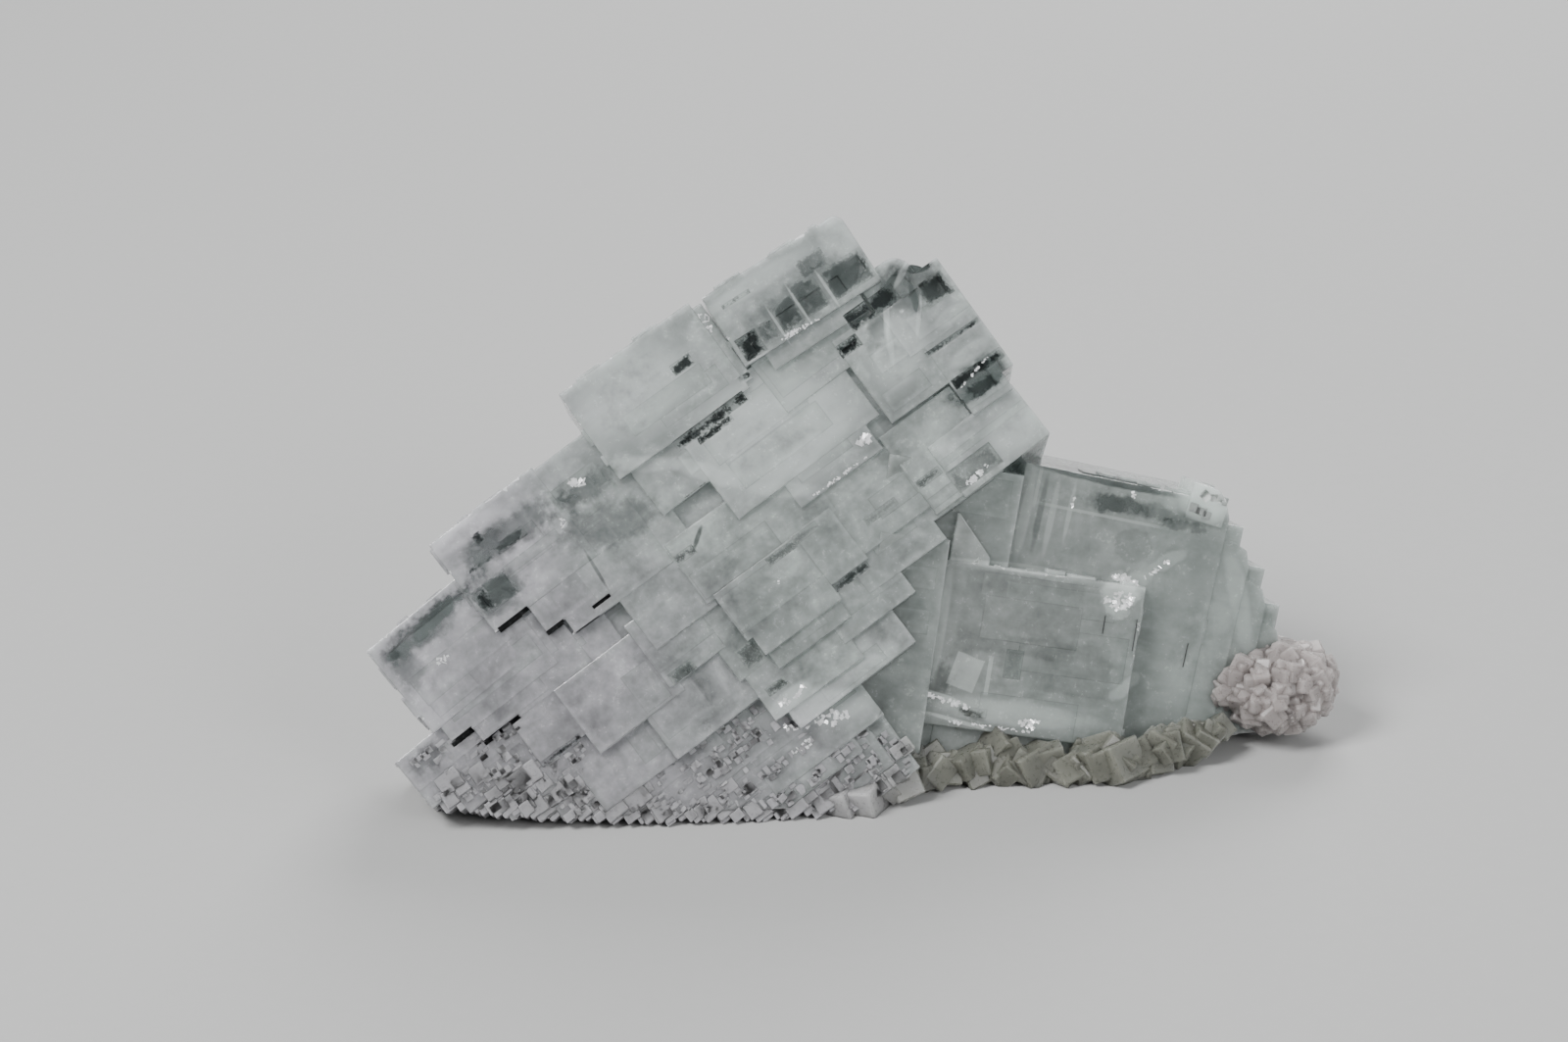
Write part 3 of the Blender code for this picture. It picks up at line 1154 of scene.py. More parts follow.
UPRIGHT_CUBES = (
    Cube("tall", (8.4, 31), (1, 33.6), (-8, 10.3), 0.0, rounded=1.6, corner_steps=2, chipped=True,
         side_free=False),
    Cube("tall_right", (25, 34.2), (4, 29.7), (-9, 10.2), -0.4, rounded=2.2, corner_steps=2),
    Cube("tall_step_a", (27, 37), (7, 26), (-7, 10.1), 0.3, rounded=2.4, corner_steps=2),
    Cube("tall_step_b", (28, 39.4), (6, 22), (-6, 9.9), -0.5, rounded=2.2, corner_steps=2),
    Cube("tall_step_c", (29, 32.8), (20, 31.4), (0, 10.15), 0.6),
    Cube("tall_step_d", (30, 36), (18, 27.6), (0, 10.0), -0.8),
    Cube("tall_step_e", (31, 38.6), (12, 24), (0, 9.8), 0.8),
    Cube("tall_left", (2, 16), (0, 27), (-10, 8), 1.2),
    Cube("front", (2.2, 23.8), (5.3, 22.7), (0, 12), 3.0, tone=0.5, chipped=True),
    Cube("front_sill", (4.3, 24.3), (1.8, 8.9), (-2, 11.2), 2.0, tone=0.6),
    Cube("knob", (26.4, 30.6), (31.0, 34.9), (3, 10.5), -5.0, rounded=2.2, sugar=0.3, tone=1.0),
    # The wedge cubes' lighter tones are painted light, lifting the shade in the recess between the two
    # groups.
    Cube("wedge", (-5, 2.4), (0, 24), (-4, 13), 4.0, tone=0.6, tint=1.0),
    Cube("wedge_root", (-3.4, 6), (1, 24), (-4, 11.1), 4.0, tint=1.0),
    Cube("wedge_high", (-6, 8.4), (20, 32), (-4, 11.4), 2.0, tone=0.55, tint=1.0),
    Cube("wedge_tip", (2.2, 6.4), (21, 27.2), (4, 12), 1.0, rounded=4.1, corner_steps=1, tone=1.0),
    Cube("back_low", (10, 34), (0, 17), (-13, 2), -2.4),
    Cube("back_high", (12, 27), (12, 28), (-12, 2), 1.8),
)

# Clear windows in the front faces of the climbing group.
CLIMBING_WINDOWS = (
    Patch("top", (12.5, 15.0), (37.6, 40.3), 1.0, depth=0.5),
    Patch("top", (14.9, 17.1), (37.8, 40.2), 0.40),
    Patch("top", (13.7, 17.1), (43.6, 44.1), 0.85),
    Patch("top", (17.3, 20.1), (37.7, 40.9), 0.60),
    Patch("top", (20.2, 23.2), (37.6, 41.6), 0.50),
    Patch("top", (22.2, 25.6), (40.8, 43.2), 0.45),
    Patch("top", (23.9, 28.8), (37.2, 40.8), 0.60),
    Patch("shoulder_inner", (23.3, 29.4), (33.7, 35.8), 1.0, depth=0.3),
    Patch("shoulder_inner", (20.7, 23.3), (32.2, 33.7), 1.0, depth=0.3),
    Patch("second_right", (10.6, 12.4), (36.5, 37.1), 0.9),
    Patch("middle", (1.2, 10.2), (34.6, 35.8), 1.0, depth=0.3),
    Patch("middle", (3.4, 7.8), (33.8, 34.7), 0.95, depth=0.15),
    Patch("second", (5.6, 8.1), (41.1, 42.4), 0.95),
    Patch("third", (-21.6, -20.4), (39.1, 40.4), 0.95),
    Patch("third", (-24.0, -20.6), (37.1, 37.7), 0.95),
    Patch("third", (-20.2, -16.5), (37.0, 38.2), 0.6),
    Patch("third", (-25.0, -20.6), (32.6, 35.6), 0.55),
    Patch("third", (-25.0, -23.4), (32.9, 35.2), 1.0, depth=0.12),
    Patch("fourth", (-36.0, -34.4), (34.6, 35.9), 0.6),
    Patch("second_lower", (-1.2, 1.5), (29.2, 30.4), 0.7),
    Patch("terrace_upper", (0.3, 1.5), (27.8, 29.2), 0.55),
    Patch("terrace_upper", (-6.0, -3.5), (25.0, 26.1), 0.65),
    Patch("middle_right", (18.8, 20.1), (26.2, 28.4), 0.75),
    Patch("shoulder", (27.8, 34.6), (26.9, 27.5), 1.0, depth=0.3),
    Patch("shoulder", (28.2, 34.4), (22.4, 23.6), 1.0, depth=0.15),
    Patch("shoulder_side", (28.8, 32.4), (20.3, 22.2), 0.85),
    Patch("shoulder", (31.2, 34.4), (31.0, 33.8), 0.75),
    Patch("fourth_step_c", (-29.5, -24.5), (16.5, 17.2), 0.95, depth=0.3),
    Patch("terrace_low_left", (-23.0, -14.0), (13.5, 14.3), 0.6, tint=1.0, tone=0.3),
    Patch("terrace_left", (-13.0, -7.4), (19.0, 19.4), 0.85, tint=0.8),
    Patch("terrace_low_middle", (-13.6, -10.6), (14.8, 16.6), 0.35, tint=1.0, tone=0.4),
    Patch("terrace_foot_right", (5.6, 10.0), (13.0, 13.9), 0.8),
    Patch("terrace_square", (1.6, 5.2), (19.2, 20.2), 0.5, tint=0.9),
    Patch("terrace_right", (5.2, 8.2), (19.4, 20.4), 0.35, tint=0.9),
    Patch("shoulder_plate", (18.9, 21.9), (16.4, 17.4), 0.6, tint=0.9),
    Patch("shoulder_plate", (22.0, 27.6), (13.6, 16.2), 0.35, tint=1.0),
    Patch("terrace_far_right", (12.3, 16.3), (16.6, 17.5), 0.35, tint=0.9),
    Patch("terrace_between", (-6.6, -4.2), (12.0, 14.4), 0.4, tint=1.0),
    Patch("terrace_foot_middle", (-6.4, -3.9), (8.4, 9.4), 0.55, tint=0.9),
)

# Dark slots at the foot of the steps, in the same lattice, painted near black as painted shade.
CLIMBING_SLOTS = (
    Patch("fourth_step_a", (-35.7, -33.0), (23.8, 24.4), depth=1.4),
    Patch("fourth_step_b", (-32.9, -28.3), (22.0, 22.5), depth=1.4),
    Patch("fourth_step_c", (-31.0, -29.0), (21.2, 21.5), depth=0.8),
    Patch("third", (-24.8, -21.0), (30.5, 31.0), depth=1.4),
    Patch("third_step_a", (-21.0, -18.8), (27.3, 27.7), depth=1.0),
    Patch("third_inner", (-15.6, -13.4), (26.6, 27.0), depth=1.0),
    Patch("third_step_b", (-18.5, -15.6), (25.4, 25.8), depth=0.6),
)

CLIMBING_VEILS = (
    # Clear, dim clouds.
    Veil(-30.0, 35.6, (6.5, 1.8), -0.45, -0.26, turn=3),
    Veil(-29.0, 35.9, (4.2, 1.3), -0.40, -0.22, turn=3, ragged=1.5),
    Veil(-38.5, 24.6, (2.2, 1.5), -0.35, -0.18),
    Veil(-34.5, 33.0, (1.8, 3.2), -0.25, -0.16),
    Veil(-17.0, 38.2, (7.0, 2.0), -0.45, -0.26),
    Veil(-9.0, 37.2, (4.2, 1.5), -0.40, -0.22),
    Veil(-22.5, 33.6, (3.4, 2.2), -0.40, -0.25),
    Veil(-9.0, 32.8, (6.0, 2.4), -0.20, -0.20, turn=-18),
    Veil(22.0, 39.4, (8.0, 2.4), -0.25, -0.20, turn=-4),
    Veil(31.0, 34.2, (3.6, 2.8), -0.40, -0.24),
    Veil(26.5, 33.9, (4.5, 1.2), -0.30, -0.20, turn=40),
    Veil(30.8, 22.2, (4.2, 1.6), -0.45, -0.26),
    Veil(0.0, 17.0, (13.0, 7.5), 0.05, -0.08),
    Veil(28.8, 35.4, (2.2, 0.5), -0.50, -0.30, turn=24, ragged=0.6),
    Veil(32.8, 35.2, (1.6, 0.5), -0.50, -0.30, turn=-26, ragged=0.6),
    Veil(30.4, 32.6, (0.4, 2.0), -0.40, -0.24, turn=-20, ragged=0.6),
    # Cracks.
    Veil(-2.6, 26.2, (1.6, 0.32), -0.60, -0.34, turn=35, ragged=0.3),
    Veil(-13.0, 29.8, (0.22, 2.6), -0.40, -0.24, turn=-5, ragged=0.3),
    Veil(4.5, 1.6, (3.6, 0.2), -0.45, -0.28, turn=24, ragged=0.3),
    # Milky, bright ones.
    Veil(10.5, 30.4, (9.0, 6.2), 0.30, 0.18, turn=-14),
    Veil(-2.4, 35.6, (3.8, 0.9), 0.22, 0.12, turn=-36, ragged=0.6),
    Veil(2.4, 30.8, (4.2, 1.0), 0.25, 0.14, turn=-54, ragged=0.6),
    Veil(7.4, 25.0, (4.0, 0.9), 0.22, 0.10, turn=-38, ragged=0.6),
    Veil(1.0, 42.4, (7.0, 4.6), 0.20, 0.14),
    Veil(-22.0, 41.2, (5.0, 1.2), 0.25, 0.18),
    Veil(-35.5, 28.0, (2.0, 3.0), 0.20, 0.12),
    Veil(18.0, 44.0, (7.0, 1.1), 0.25, 0.18, turn=-4),
    Veil(27.5, 42.4, (1.6, 3.4), 0.25, 0.16, turn=-4),
    Veil(26.0, 29.8, (4.6, 3.0), 0.30, 0.20, turn=36),
    Veil(25.6, 30.6, (2.8, 0.3), 0.35, 0.20, turn=62, ragged=0.5),
    Veil(27.2, 33.4, (3.2, 0.35), 0.40, 0.24, turn=55, ragged=0.5),
    Veil(29.8, 31.2, (2.8, 0.25), 0.40, 0.22, turn=48, ragged=0.5),
    Veil(31.0, 35.8, (2.2, 0.4), 0.40, 0.20, turn=24, ragged=0.5),
    Veil(32.5, 29.2, (2.2, 0.9), 0.25, 0.14),
    Veil(31.5, 24.9, (2.6, 0.9), 0.25, 0.14),
    Veil(17.3, 39.0, (0.16, 2.4), 0.60, 0.26, turn=-3, ragged=0.1),
    Veil(20.3, 39.4, (0.16, 2.8), 0.60, 0.26, turn=-3, ragged=0.1),
    Veil(23.7, 39.0, (0.18, 2.6), 0.50, 0.22, turn=-3, ragged=0.1),
    Veil(-3.0, 4.6, (6.0, 2.2), 0.25, 0.24, turn=-28),
    Veil(-4.5, 7.2, (2.6, 0.9), 0.35, 0.24, ragged=0.3),
    Veil(30.5, 15.7, (3.5, 2.5), 0.20, 0.16),
)

CLIMBING_FLAKES = (
    Flakes("third_inner", -9.3, 38.4, (0.9, 0.6), 9),
    Flakes("third_inner", -13.0, 35.8, (0.5, 0.5), 6),
    Flakes("fourth", -31.3, 31.7, (0.8, 0.4), 8, (0.2, 0.7)),
    Flakes("terrace_foot_middle", -4.4, 7.2, (1.8, 0.4), 16, (0.2, 0.7)),
    Flakes("body_low", -4.0, 3.8, (3.6, 0.9), 40, (0.2, 0.7), turn=-26.0),
    Flakes("body_low", -6.4, 2.4, (1.6, 0.4), 14, (0.15, 0.5)),
    Flakes("middle_lower", 17.4, 23.9, (0.7, 0.6), 14, (0.3, 0.9)),
    Flakes("middle_lower", 13.0, 22.5, (3.6, 0.12), 30, (0.12, 0.4)),
    Flakes("top", 18.6, 37.3, (2.6, 0.2), 28, (0.15, 0.45), turn=-4.0),
    Flakes("second_right", 11.0, 44.2, (1.1, 1.5), 34, (0.15, 0.5)),
    Flakes("shoulder_plate", 24.6, 14.1, (1.8, 0.3), 22, (0.15, 0.6), turn=8.0),
    Flakes("shoulder", 30.8, 22.9, (2.4, 0.12), 16, (0.12, 0.4), turn=14.0),
    Flakes("shoulder_inner", 28.4, 32.4, (2.0, 0.2), 16, (0.12, 0.4), turn=50.0),
    Flakes("terrace_square", 1.3, 17.4, (0.3, 0.2), 3, (0.15, 0.4)),
)

UPRIGHT_WINDOWS = (
    Patch("front", (10.3, 12.2), (11.1, 14.2), 0.2, tint=1.0),
    Patch("front", (6.6, 9.6), (6.4, 7.4), 0.5, tone=0.3),
)

# Thin slots whose near-black colour is painted shade.
UPRIGHT_SLOTS = (
    Patch("front", (23.30, 23.38), (16.4, 19.8), depth=0.2),
    Patch("front", (19.8, 19.88), (17.6, 19.6), depth=0.2),
    Patch("tall", (29.5, 29.58), (15.6, 18.2), depth=0.2),
)

UPRIGHT_VEILS = (
    # Milky, bright clouds.
    Veil(20.9, 21.9, (2.0, 2.4), 0.50, 0.46, ragged=1.4),
    Veil(22.6, 23.6, (2.6, 1.3), 0.40, 0.26, turn=52, ragged=1.3),
    Veil(25.2, 26.2, (2.4, 0.8), 0.30, 0.18, turn=38, ragged=1.3),
    Veil(23.7, 12.6, (2.2, 0.8), 0.35, 0.16, turn=45, ragged=1.3),
    Veil(12.5, 7.6, (10.0, 1.5), 0.35, 0.28, turn=3),
    Veil(2.9, 14.5, (0.6, 8.0), 0.25, 0.20, turn=3, ragged=0.4),
    Veil(10.0, 22.7, (8.0, 0.4), 0.25, 0.18, turn=3, ragged=0.4),
    Veil(6.4, 10.9, (1.6, 1.9), 0.35, 0.26, turn=-10, ragged=0.1, soft=0.08, boxy=True),
    Veil(8.9, 11.0, (0.25, 2.2), 0.30, 0.24, turn=3, ragged=0.1, soft=0.2, boxy=True),
    Veil(5.0, 7.9, (2.6, 0.3), 0.50, 0.40, turn=-9, ragged=0.3),
    Veil(6.4, 5.7, (4.2, 0.25), 0.50, 0.40, turn=-5, ragged=0.3),
    Veil(17.6, 29.7, (7.6, 0.18), 0.30, 0.15, ragged=0.1, boxy=True),
    Veil(10.1, 31.2, (0.2, 2.2), 0.30, 0.15, ragged=0.1, boxy=True),
    Veil(9.4, 28.0, (0.6, 5.0), 0.30, 0.16, ragged=0.4),
    Veil(12.2, 28.4, (0.4, 4.4), 0.25, 0.12, ragged=0.4),
    Veil(14.0, 29.4, (0.3, 3.4), 0.25, 0.14, ragged=0.4),
    Veil(28.1, 33.4, (3.2, 2.3), 0.90, 0.60, ragged=0.5),
    Veil(34.0, 23.6, (1.2, 6.0), 0.25, 0.16, turn=24),
    Veil(31.0, 18.0, (5.0, 8.0), 0.10, 0.06),
    # Clear, dim ones.
    Veil(10.9, 17.8, (6.8, 4.5), -0.05, -0.10, turn=3, ragged=0.1, soft=0.06, boxy=True),
    Veil(15.6, 13.2, (6.4, 2.9), -0.04, -0.07, turn=3, ragged=0.2, soft=0.08, boxy=True),
    Veil(3.6, 9.6, (1.6, 2.6), -0.30, -0.20, ragged=0.9),
    Veil(7.9, 6.7, (1.9, 0.5), -0.36, -0.24, turn=-14, ragged=0.5),
    Veil(10.9, 28.8, (0.4, 4.4), -0.30, -0.14, ragged=0.3),
    Veil(17.0, 33.4, (8.6, 0.55), -0.60, -0.40, turn=-1, ragged=0.3),
    Veil(21.0, 31.2, (8.0, 1.0), -0.30, -0.18),
    Veil(19.8, 31.3, (2.8, 0.9), -0.20, -0.15, ragged=2.6),
    Veil(26.4, 30.4, (2.2, 0.7), -0.20, -0.15, ragged=2.6),
    Veil(21.5, 27.2, (2.4, 2.0), -0.10, -0.10, ragged=0.3, soft=0.1),
)

UPRIGHT_FLAKES = (
    Flakes("front", 20.9, 21.4, (1.6, 0.9), 44, (0.2, 0.8)),
    Flakes("tall", 21.3, 23.3, (1.6, 0.7), 26, (0.2, 0.8)),
    Flakes("tall", 24.4, 25.2, (1.8, 0.2), 14, (0.15, 0.5), turn=45.0),
    Flakes("front", 5.4, 7.5, (2.6, 0.25), 30, (0.15, 0.6), turn=-9.0),
    Flakes("front", 14.4, 6.8, (1.3, 0.5), 26, (0.15, 0.6), turn=10.0),
    Flakes("front", 10.0, 5.7, (5.5, 0.12), 34, (0.12, 0.45)),
    Flakes("tall", 20.4, 32.6, (0.3, 0.3), 5, (0.2, 0.5)),
    Flakes("tall", 14.2, 30.6, (0.15, 0.7), 6, (0.15, 0.4)),
)


@dataclass(frozen=True)
class GrowthLayers:
    """The thin layers, small crystals, steps and chips on the faces of a cube."""

    density: float = 0.012  # layers on a square millimetre
    length: Span = (3.0, 13.0)
    width: Span = (0.8, 5.0)
    height: Span = (0.01, 0.045)
    tone: Span = (-0.12, 0.12)  # added to the cube's
    tint: Span = (-0.1, 0.2)  # added to the cube's
    root: float = 0.6  # how far a layer reaches into its cube
    bevel: float = 0.01
    crystal: Span = (0.35, 1.1)
    crystal_height: Span = (0.01, 0.08)
    crystal_turn: float = 3.0
    crystal_bevel: float = 0.04
    hidden_share: float = 0.3  # of small crystals on faces other than the front
    rough_edge: float = 0.32  # small steps on a millimetre of a free edge
    step_length: Span = (0.6, 3.2)
    step_depth: Span = (1.2, 5.0)
    step_height: Span = (0.06, 0.45)
    step_setback: Span = (-0.03, 1.6)
    step_tone: Span = (-0.1, 0.3)  # added to the cube's
    chip: Span = (0.4, 1.3)
    chip_density: float = 0.22  # chips on a millimetre of edge
    chip_offset: float = 0.36  # of a chip's middle from the edge, as a share of its size
    chip_growth: Growth = Growth(0.7, frost=0.7)

    def _faces(self, cube: Cube) -> Iterator[tuple[int, int, float]]:
        """The faces of a cube.

        Args:
            cube: The cube.

        Yields:
            The face's axis, which of that axis's two sides it is on, -1 or 1, and its area.
        """
        whole = cube.size()
        for axis, side in product(AXES, (-1, 1)):
            first, second = (whole[other] for other in AXES if other != axis)
            yield axis, side, first * second

    def _on_face(self, cube: Cube, axis: int, side: int, sizes: Sequence[float],
                 height: float, rng: random.Random) -> tuple[Vector, Vector]:
        """Places a flat block on one face of a cube.

        Args:
            cube: The cube.
            axis: The face's axis, 0 to 2 for along, out and up.
            side: Which of the two faces, -1 or 1.
            sizes: The block's two sizes in the face's plane.
            height: How far it stands proud.
            rng: Where it is drawn from.

        Returns:
            The block's size and its middle from the cube's middle.
        """
        whole = cube.size()
        size, offset = Vector(), Vector()
        for other, wanted in zip([other for other in AXES if other != axis], sizes):
            size[other] = min(wanted, whole[other] - 2 * BEVEL)
            room = (whole[other] - size[other]) / 2 - BEVEL
            offset[other] = rng.uniform(-room, room)
        size[axis] = self.root + height
        offset[axis] = side * (whole[axis] / 2 + height - size[axis] / 2)
        return size, offset

    def layers(self, cube: Cube, lattice: Lattice, coat: Coat, rng: random.Random) -> Iterator[Block]:
        """Thin layers on all faces of a cube, unless it has lost its corner.

        Args:
            cube: The cube.
            lattice: Its lattice.
            coat: Its material.
            rng: Where the layers are drawn from.

        Yields:
            One block for each layer.
        """
        if cube.rounded:
            return
        for axis, side, area in self._faces(cube):
            for _ in range(drawn_count(area * self.density, rng)):
                sizes = (rng.uniform(*self.length), rng.uniform(*self.width))
                if axis == ALONG:
                    sizes = sizes[::-1]
                height = rng.uniform(*self.height)
                size, offset = self._on_face(cube, axis, side, sizes, height, rng)
                growth = Growth(cube.tone + rng.uniform(*self.tone), 0.0,
                                cube.tint + rng.uniform(*self.tint))
                place = cube.place(lattice) @ Matrix.Translation(offset)
                yield Block(size, place, growth, coat, self.bevel)

    def crystals(self, cube: Cube, lattice: Lattice, rng: random.Random) -> Iterator[Block]:
        """Small crystals in nearly the cube's own direction, most of them on its front.

        Args:
            cube: The cube.
            lattice: Its lattice.
            rng: Where the crystals are drawn from.

        Yields:
            One block for each crystal.
        """
        for axis, side, area in self._faces(cube):
            share = 1.0 if (axis, side) == (OUT, -1) else self.hidden_share
            for _ in range(drawn_count(area * cube.sugar * share, rng)):
                sizes = [rng.uniform(*self.crystal) for _ in range(2)]
                height = rng.uniform(*self.crystal_height)
                size, offset = self._on_face(cube, axis, side, sizes, height, rng)
                turned = Matrix.Translation(offset) @ slight_turn(self.crystal_turn, rng)
                growth = Growth(rng.random(), frost=CRYSTAL_FROST)
                yield Block(size, cube.place(lattice) @ turned, growth, bevel=self.crystal_bevel)

    def edge_steps(self, cube: Cube, lattice: Lattice, coat: Coat, free_side: int,
                   rng: random.Random) -> Iterator[Block]:
        """Small steps that make the free edges of a cube's front face uneven.

        Args:
            cube: The cube.
            lattice: Its lattice.
            coat: Its material.
            free_side: -1 if its left side is free, 1 if its right side is.
            rng: Where the steps are drawn from.

        Yields:
            One block for each step.
        """
        whole = cube.size()
        for axis, across, side in ((ALONG, UP, 1), (UP, ALONG, free_side)):
            room = whole[axis] / 2 - cube.rounded - self.step_length[1] / 2
            for _ in range(drawn_count(whole[axis] * self.rough_edge, rng)):
                height = rng.uniform(*self.step_height)
                size, middle = Vector(), Vector()
                size[axis] = rng.uniform(*self.step_length)
                size[across] = self.root + height
                size.y = rng.uniform(*self.step_depth)
                middle[axis] = rng.uniform(-room, room)
                middle[across] = side * (whole[across] / 2 + height - size[across] / 2)
                middle.y = (size.y - whole.y) / 2 + rng.uniform(*self.step_setback)
                growth = Growth(cube.tone + rng.uniform(*self.step_tone), 0.0, cube.tint)
                place = cube.place(lattice) @ Matrix.Translation(middle)
                yield Block(size, place, growth, coat, self.crystal_bevel)

    def chips(self, cube: Cube, lattice: Lattice, free_side: int, rng: random.Random) -> Iterator[Block]:
        """Cutters that nick the free edges of a cube's front face.

        Args:
            cube: The cube.
            lattice: Its lattice.
            free_side: -1 if its left side is free, 1 if its right side is.
            rng: Where the chips are drawn from.

        Yields:
            One block for each chip.
        """
        whole = cube.size()
        edges = ((ALONG, UP, 1), (UP, ALONG, free_side))
        for axis, across, side in edges if cube.side_free else edges[:1]:
            for _ in range(drawn_count(whole[axis] * self.chip_density, rng)):
                size = rng.uniform(*self.chip)
                middle = Vector()
                middle[axis] = rng.uniform(-0.5, 0.5) * whole[axis]
                middle[across] = side * (whole[across] / 2 + size * self.chip_offset)
                middle.y = -whole.y / 2 - size * self.chip_offset
                turned = Matrix.Translation(middle) @ any_turn(rng)
                place = cube.place(lattice) @ turned
                yield Block(Vector((size,) * 3), place, self.chip_growth, Coat.BROKEN)


@dataclass(frozen=True)
class CubeGroup:
    """One group of cubes that share a lattice, with their windows, slots and flakes."""

    lattice: Lattice
    coat: Coat
    cubes: Sequence[Cube]
    windows: Sequence[Patch]
    slots: Sequence[Patch]
    flakes: Sequence[Flakes]
    free_side: int  # -1 if the cubes' left sides are free, 1 if their right sides are
    layers: GrowthLayers = GrowthLayers()
    clearance: float = 2.5  # of a cutter, in front of the face it cuts
    flake_thickness: float = 0.07
    flake_width: float = 0.6  # as a share of a second size
    flake_frost: float = 0.3

    def blocks(self, rng: random.Random) -> Iterator[Block]:
        """The cubes and their growth layers.

        Args:
            rng: Where the layers are drawn from.

        Yields:
            The blocks, the first of which is a cube.
        """
        for cube in self.cubes:
            growth = Growth(cube.tone, 0.0, cube.tint)
            yield Block(cube.size(), cube.place(self.lattice), growth, self.coat,
                        BEVEL, BEVEL_STEPS, cube.rounded, cube.corner_steps)
            yield from self.layers.layers(cube, self.lattice, self.coat, rng)
            if cube.chipped:
                yield from self.layers.edge_steps(cube, self.lattice, self.coat, self.free_side, rng)

    def sugar(self, rng: random.Random) -> Iterator[Block]:
        """The small crystals on the rough cubes.

        Args:
            rng: Where the crystals are drawn from.

        Yields:
            One block for each crystal.
        """
        for cube in self.cubes:
            if cube.sugar:
                yield from self.layers.crystals(cube, self.lattice, rng)

    def chips(self, rng: random.Random) -> Iterator[Block]:
        """The cutters that nick the cubes' free edges.

        Args:
            rng: Where the chips are drawn from.

        Yields:
            One block for each chip.
        """
        for cube in self.cubes:
            if cube.chipped:
                yield from self.layers.chips(cube, self.lattice, self.free_side, rng)

    def _on_front(self, name: str, along: float, up: float) -> Matrix:
        """A point on a cube's front face, in the cube's own direction.

        Args:
            name: The cube's name.
            along: Where the point is along the lattice, in millimetres.
            up: Where it is up the lattice.

        Returns:
            The point's place in the specimen's frame.
        """
        cube = next(cube for cube in self.cubes if cube.name == name)
        place = cube.place(self.lattice)
        point = place.inverted() @ self.lattice.place(along, up, cube.out[1]).translation
        point.y = -cube.size().y / 2
        return place @ Matrix.Translation(point)

    def _sunk(self, patch: Patch, coat: Coat) -> Block:
        """A cutter that sinks a patch into its face.

        Args:
            patch: The patch.
            coat: The material of what the cut bares.

        Returns:
            The cutter.
        """
        (left, right), (low, high) = patch.along, patch.up
        place = self._on_front(patch.cube, (left + right) / 2, (low + high) / 2)
        size = Vector((right - left, self.clearance + patch.depth, high - low))
        offset = Matrix.Translation((0, (patch.depth - self.clearance) / 2, 0))
        growth = Growth(patch.tone, patch.clarity, patch.tint)
        return Block(size, place @ offset, growth, coat)

    def cutters(self) -> Iterator[Block]:
        """The cutters that sink the windows and slots.

        Yields:
            One block for each window or slot.
        """
        for patch in self.windows:
            yield self._sunk(patch, self.coat)
        for patch in self.slots:
            yield self._sunk(patch, Coat.SLOT)

    def flake_blocks(self, rng: random.Random) -> Iterator[Block]:
        """Thin bright flakes that lie nearly in the faces.

        Args:
            rng: Where the flakes are drawn from.

        Yields:
            One block for each flake.
        """
        for spot in self.flakes:
            place = self._on_front(spot.cube, spot.along, spot.up)
            place = place @ Matrix.Rotation(math.radians(-spot.turn), 4, "Y")
            for _ in range(spot.count):
                way, reach = rng.uniform(0, math.tau), math.sqrt(rng.random())
                offset = Vector((math.cos(way) * spot.radii[0], 0, math.sin(way) * spot.radii[1])) * reach
                spin = Matrix.Rotation(rng.uniform(0, math.tau), 4, "Y")
                turned = Matrix.Translation(offset) @ slight_turn(spot.tilt, rng) @ spin
                length, width = rng.uniform(*spot.size), rng.uniform(*spot.size) * self.flake_width
                growth = Growth(rng.random(), frost=self.flake_frost)
                yield Block(Vector((length, self.flake_thickness, width)), place @ turned, growth)


# ---------------------------------------------------------------------------
# The body
# ---------------------------------------------------------------------------


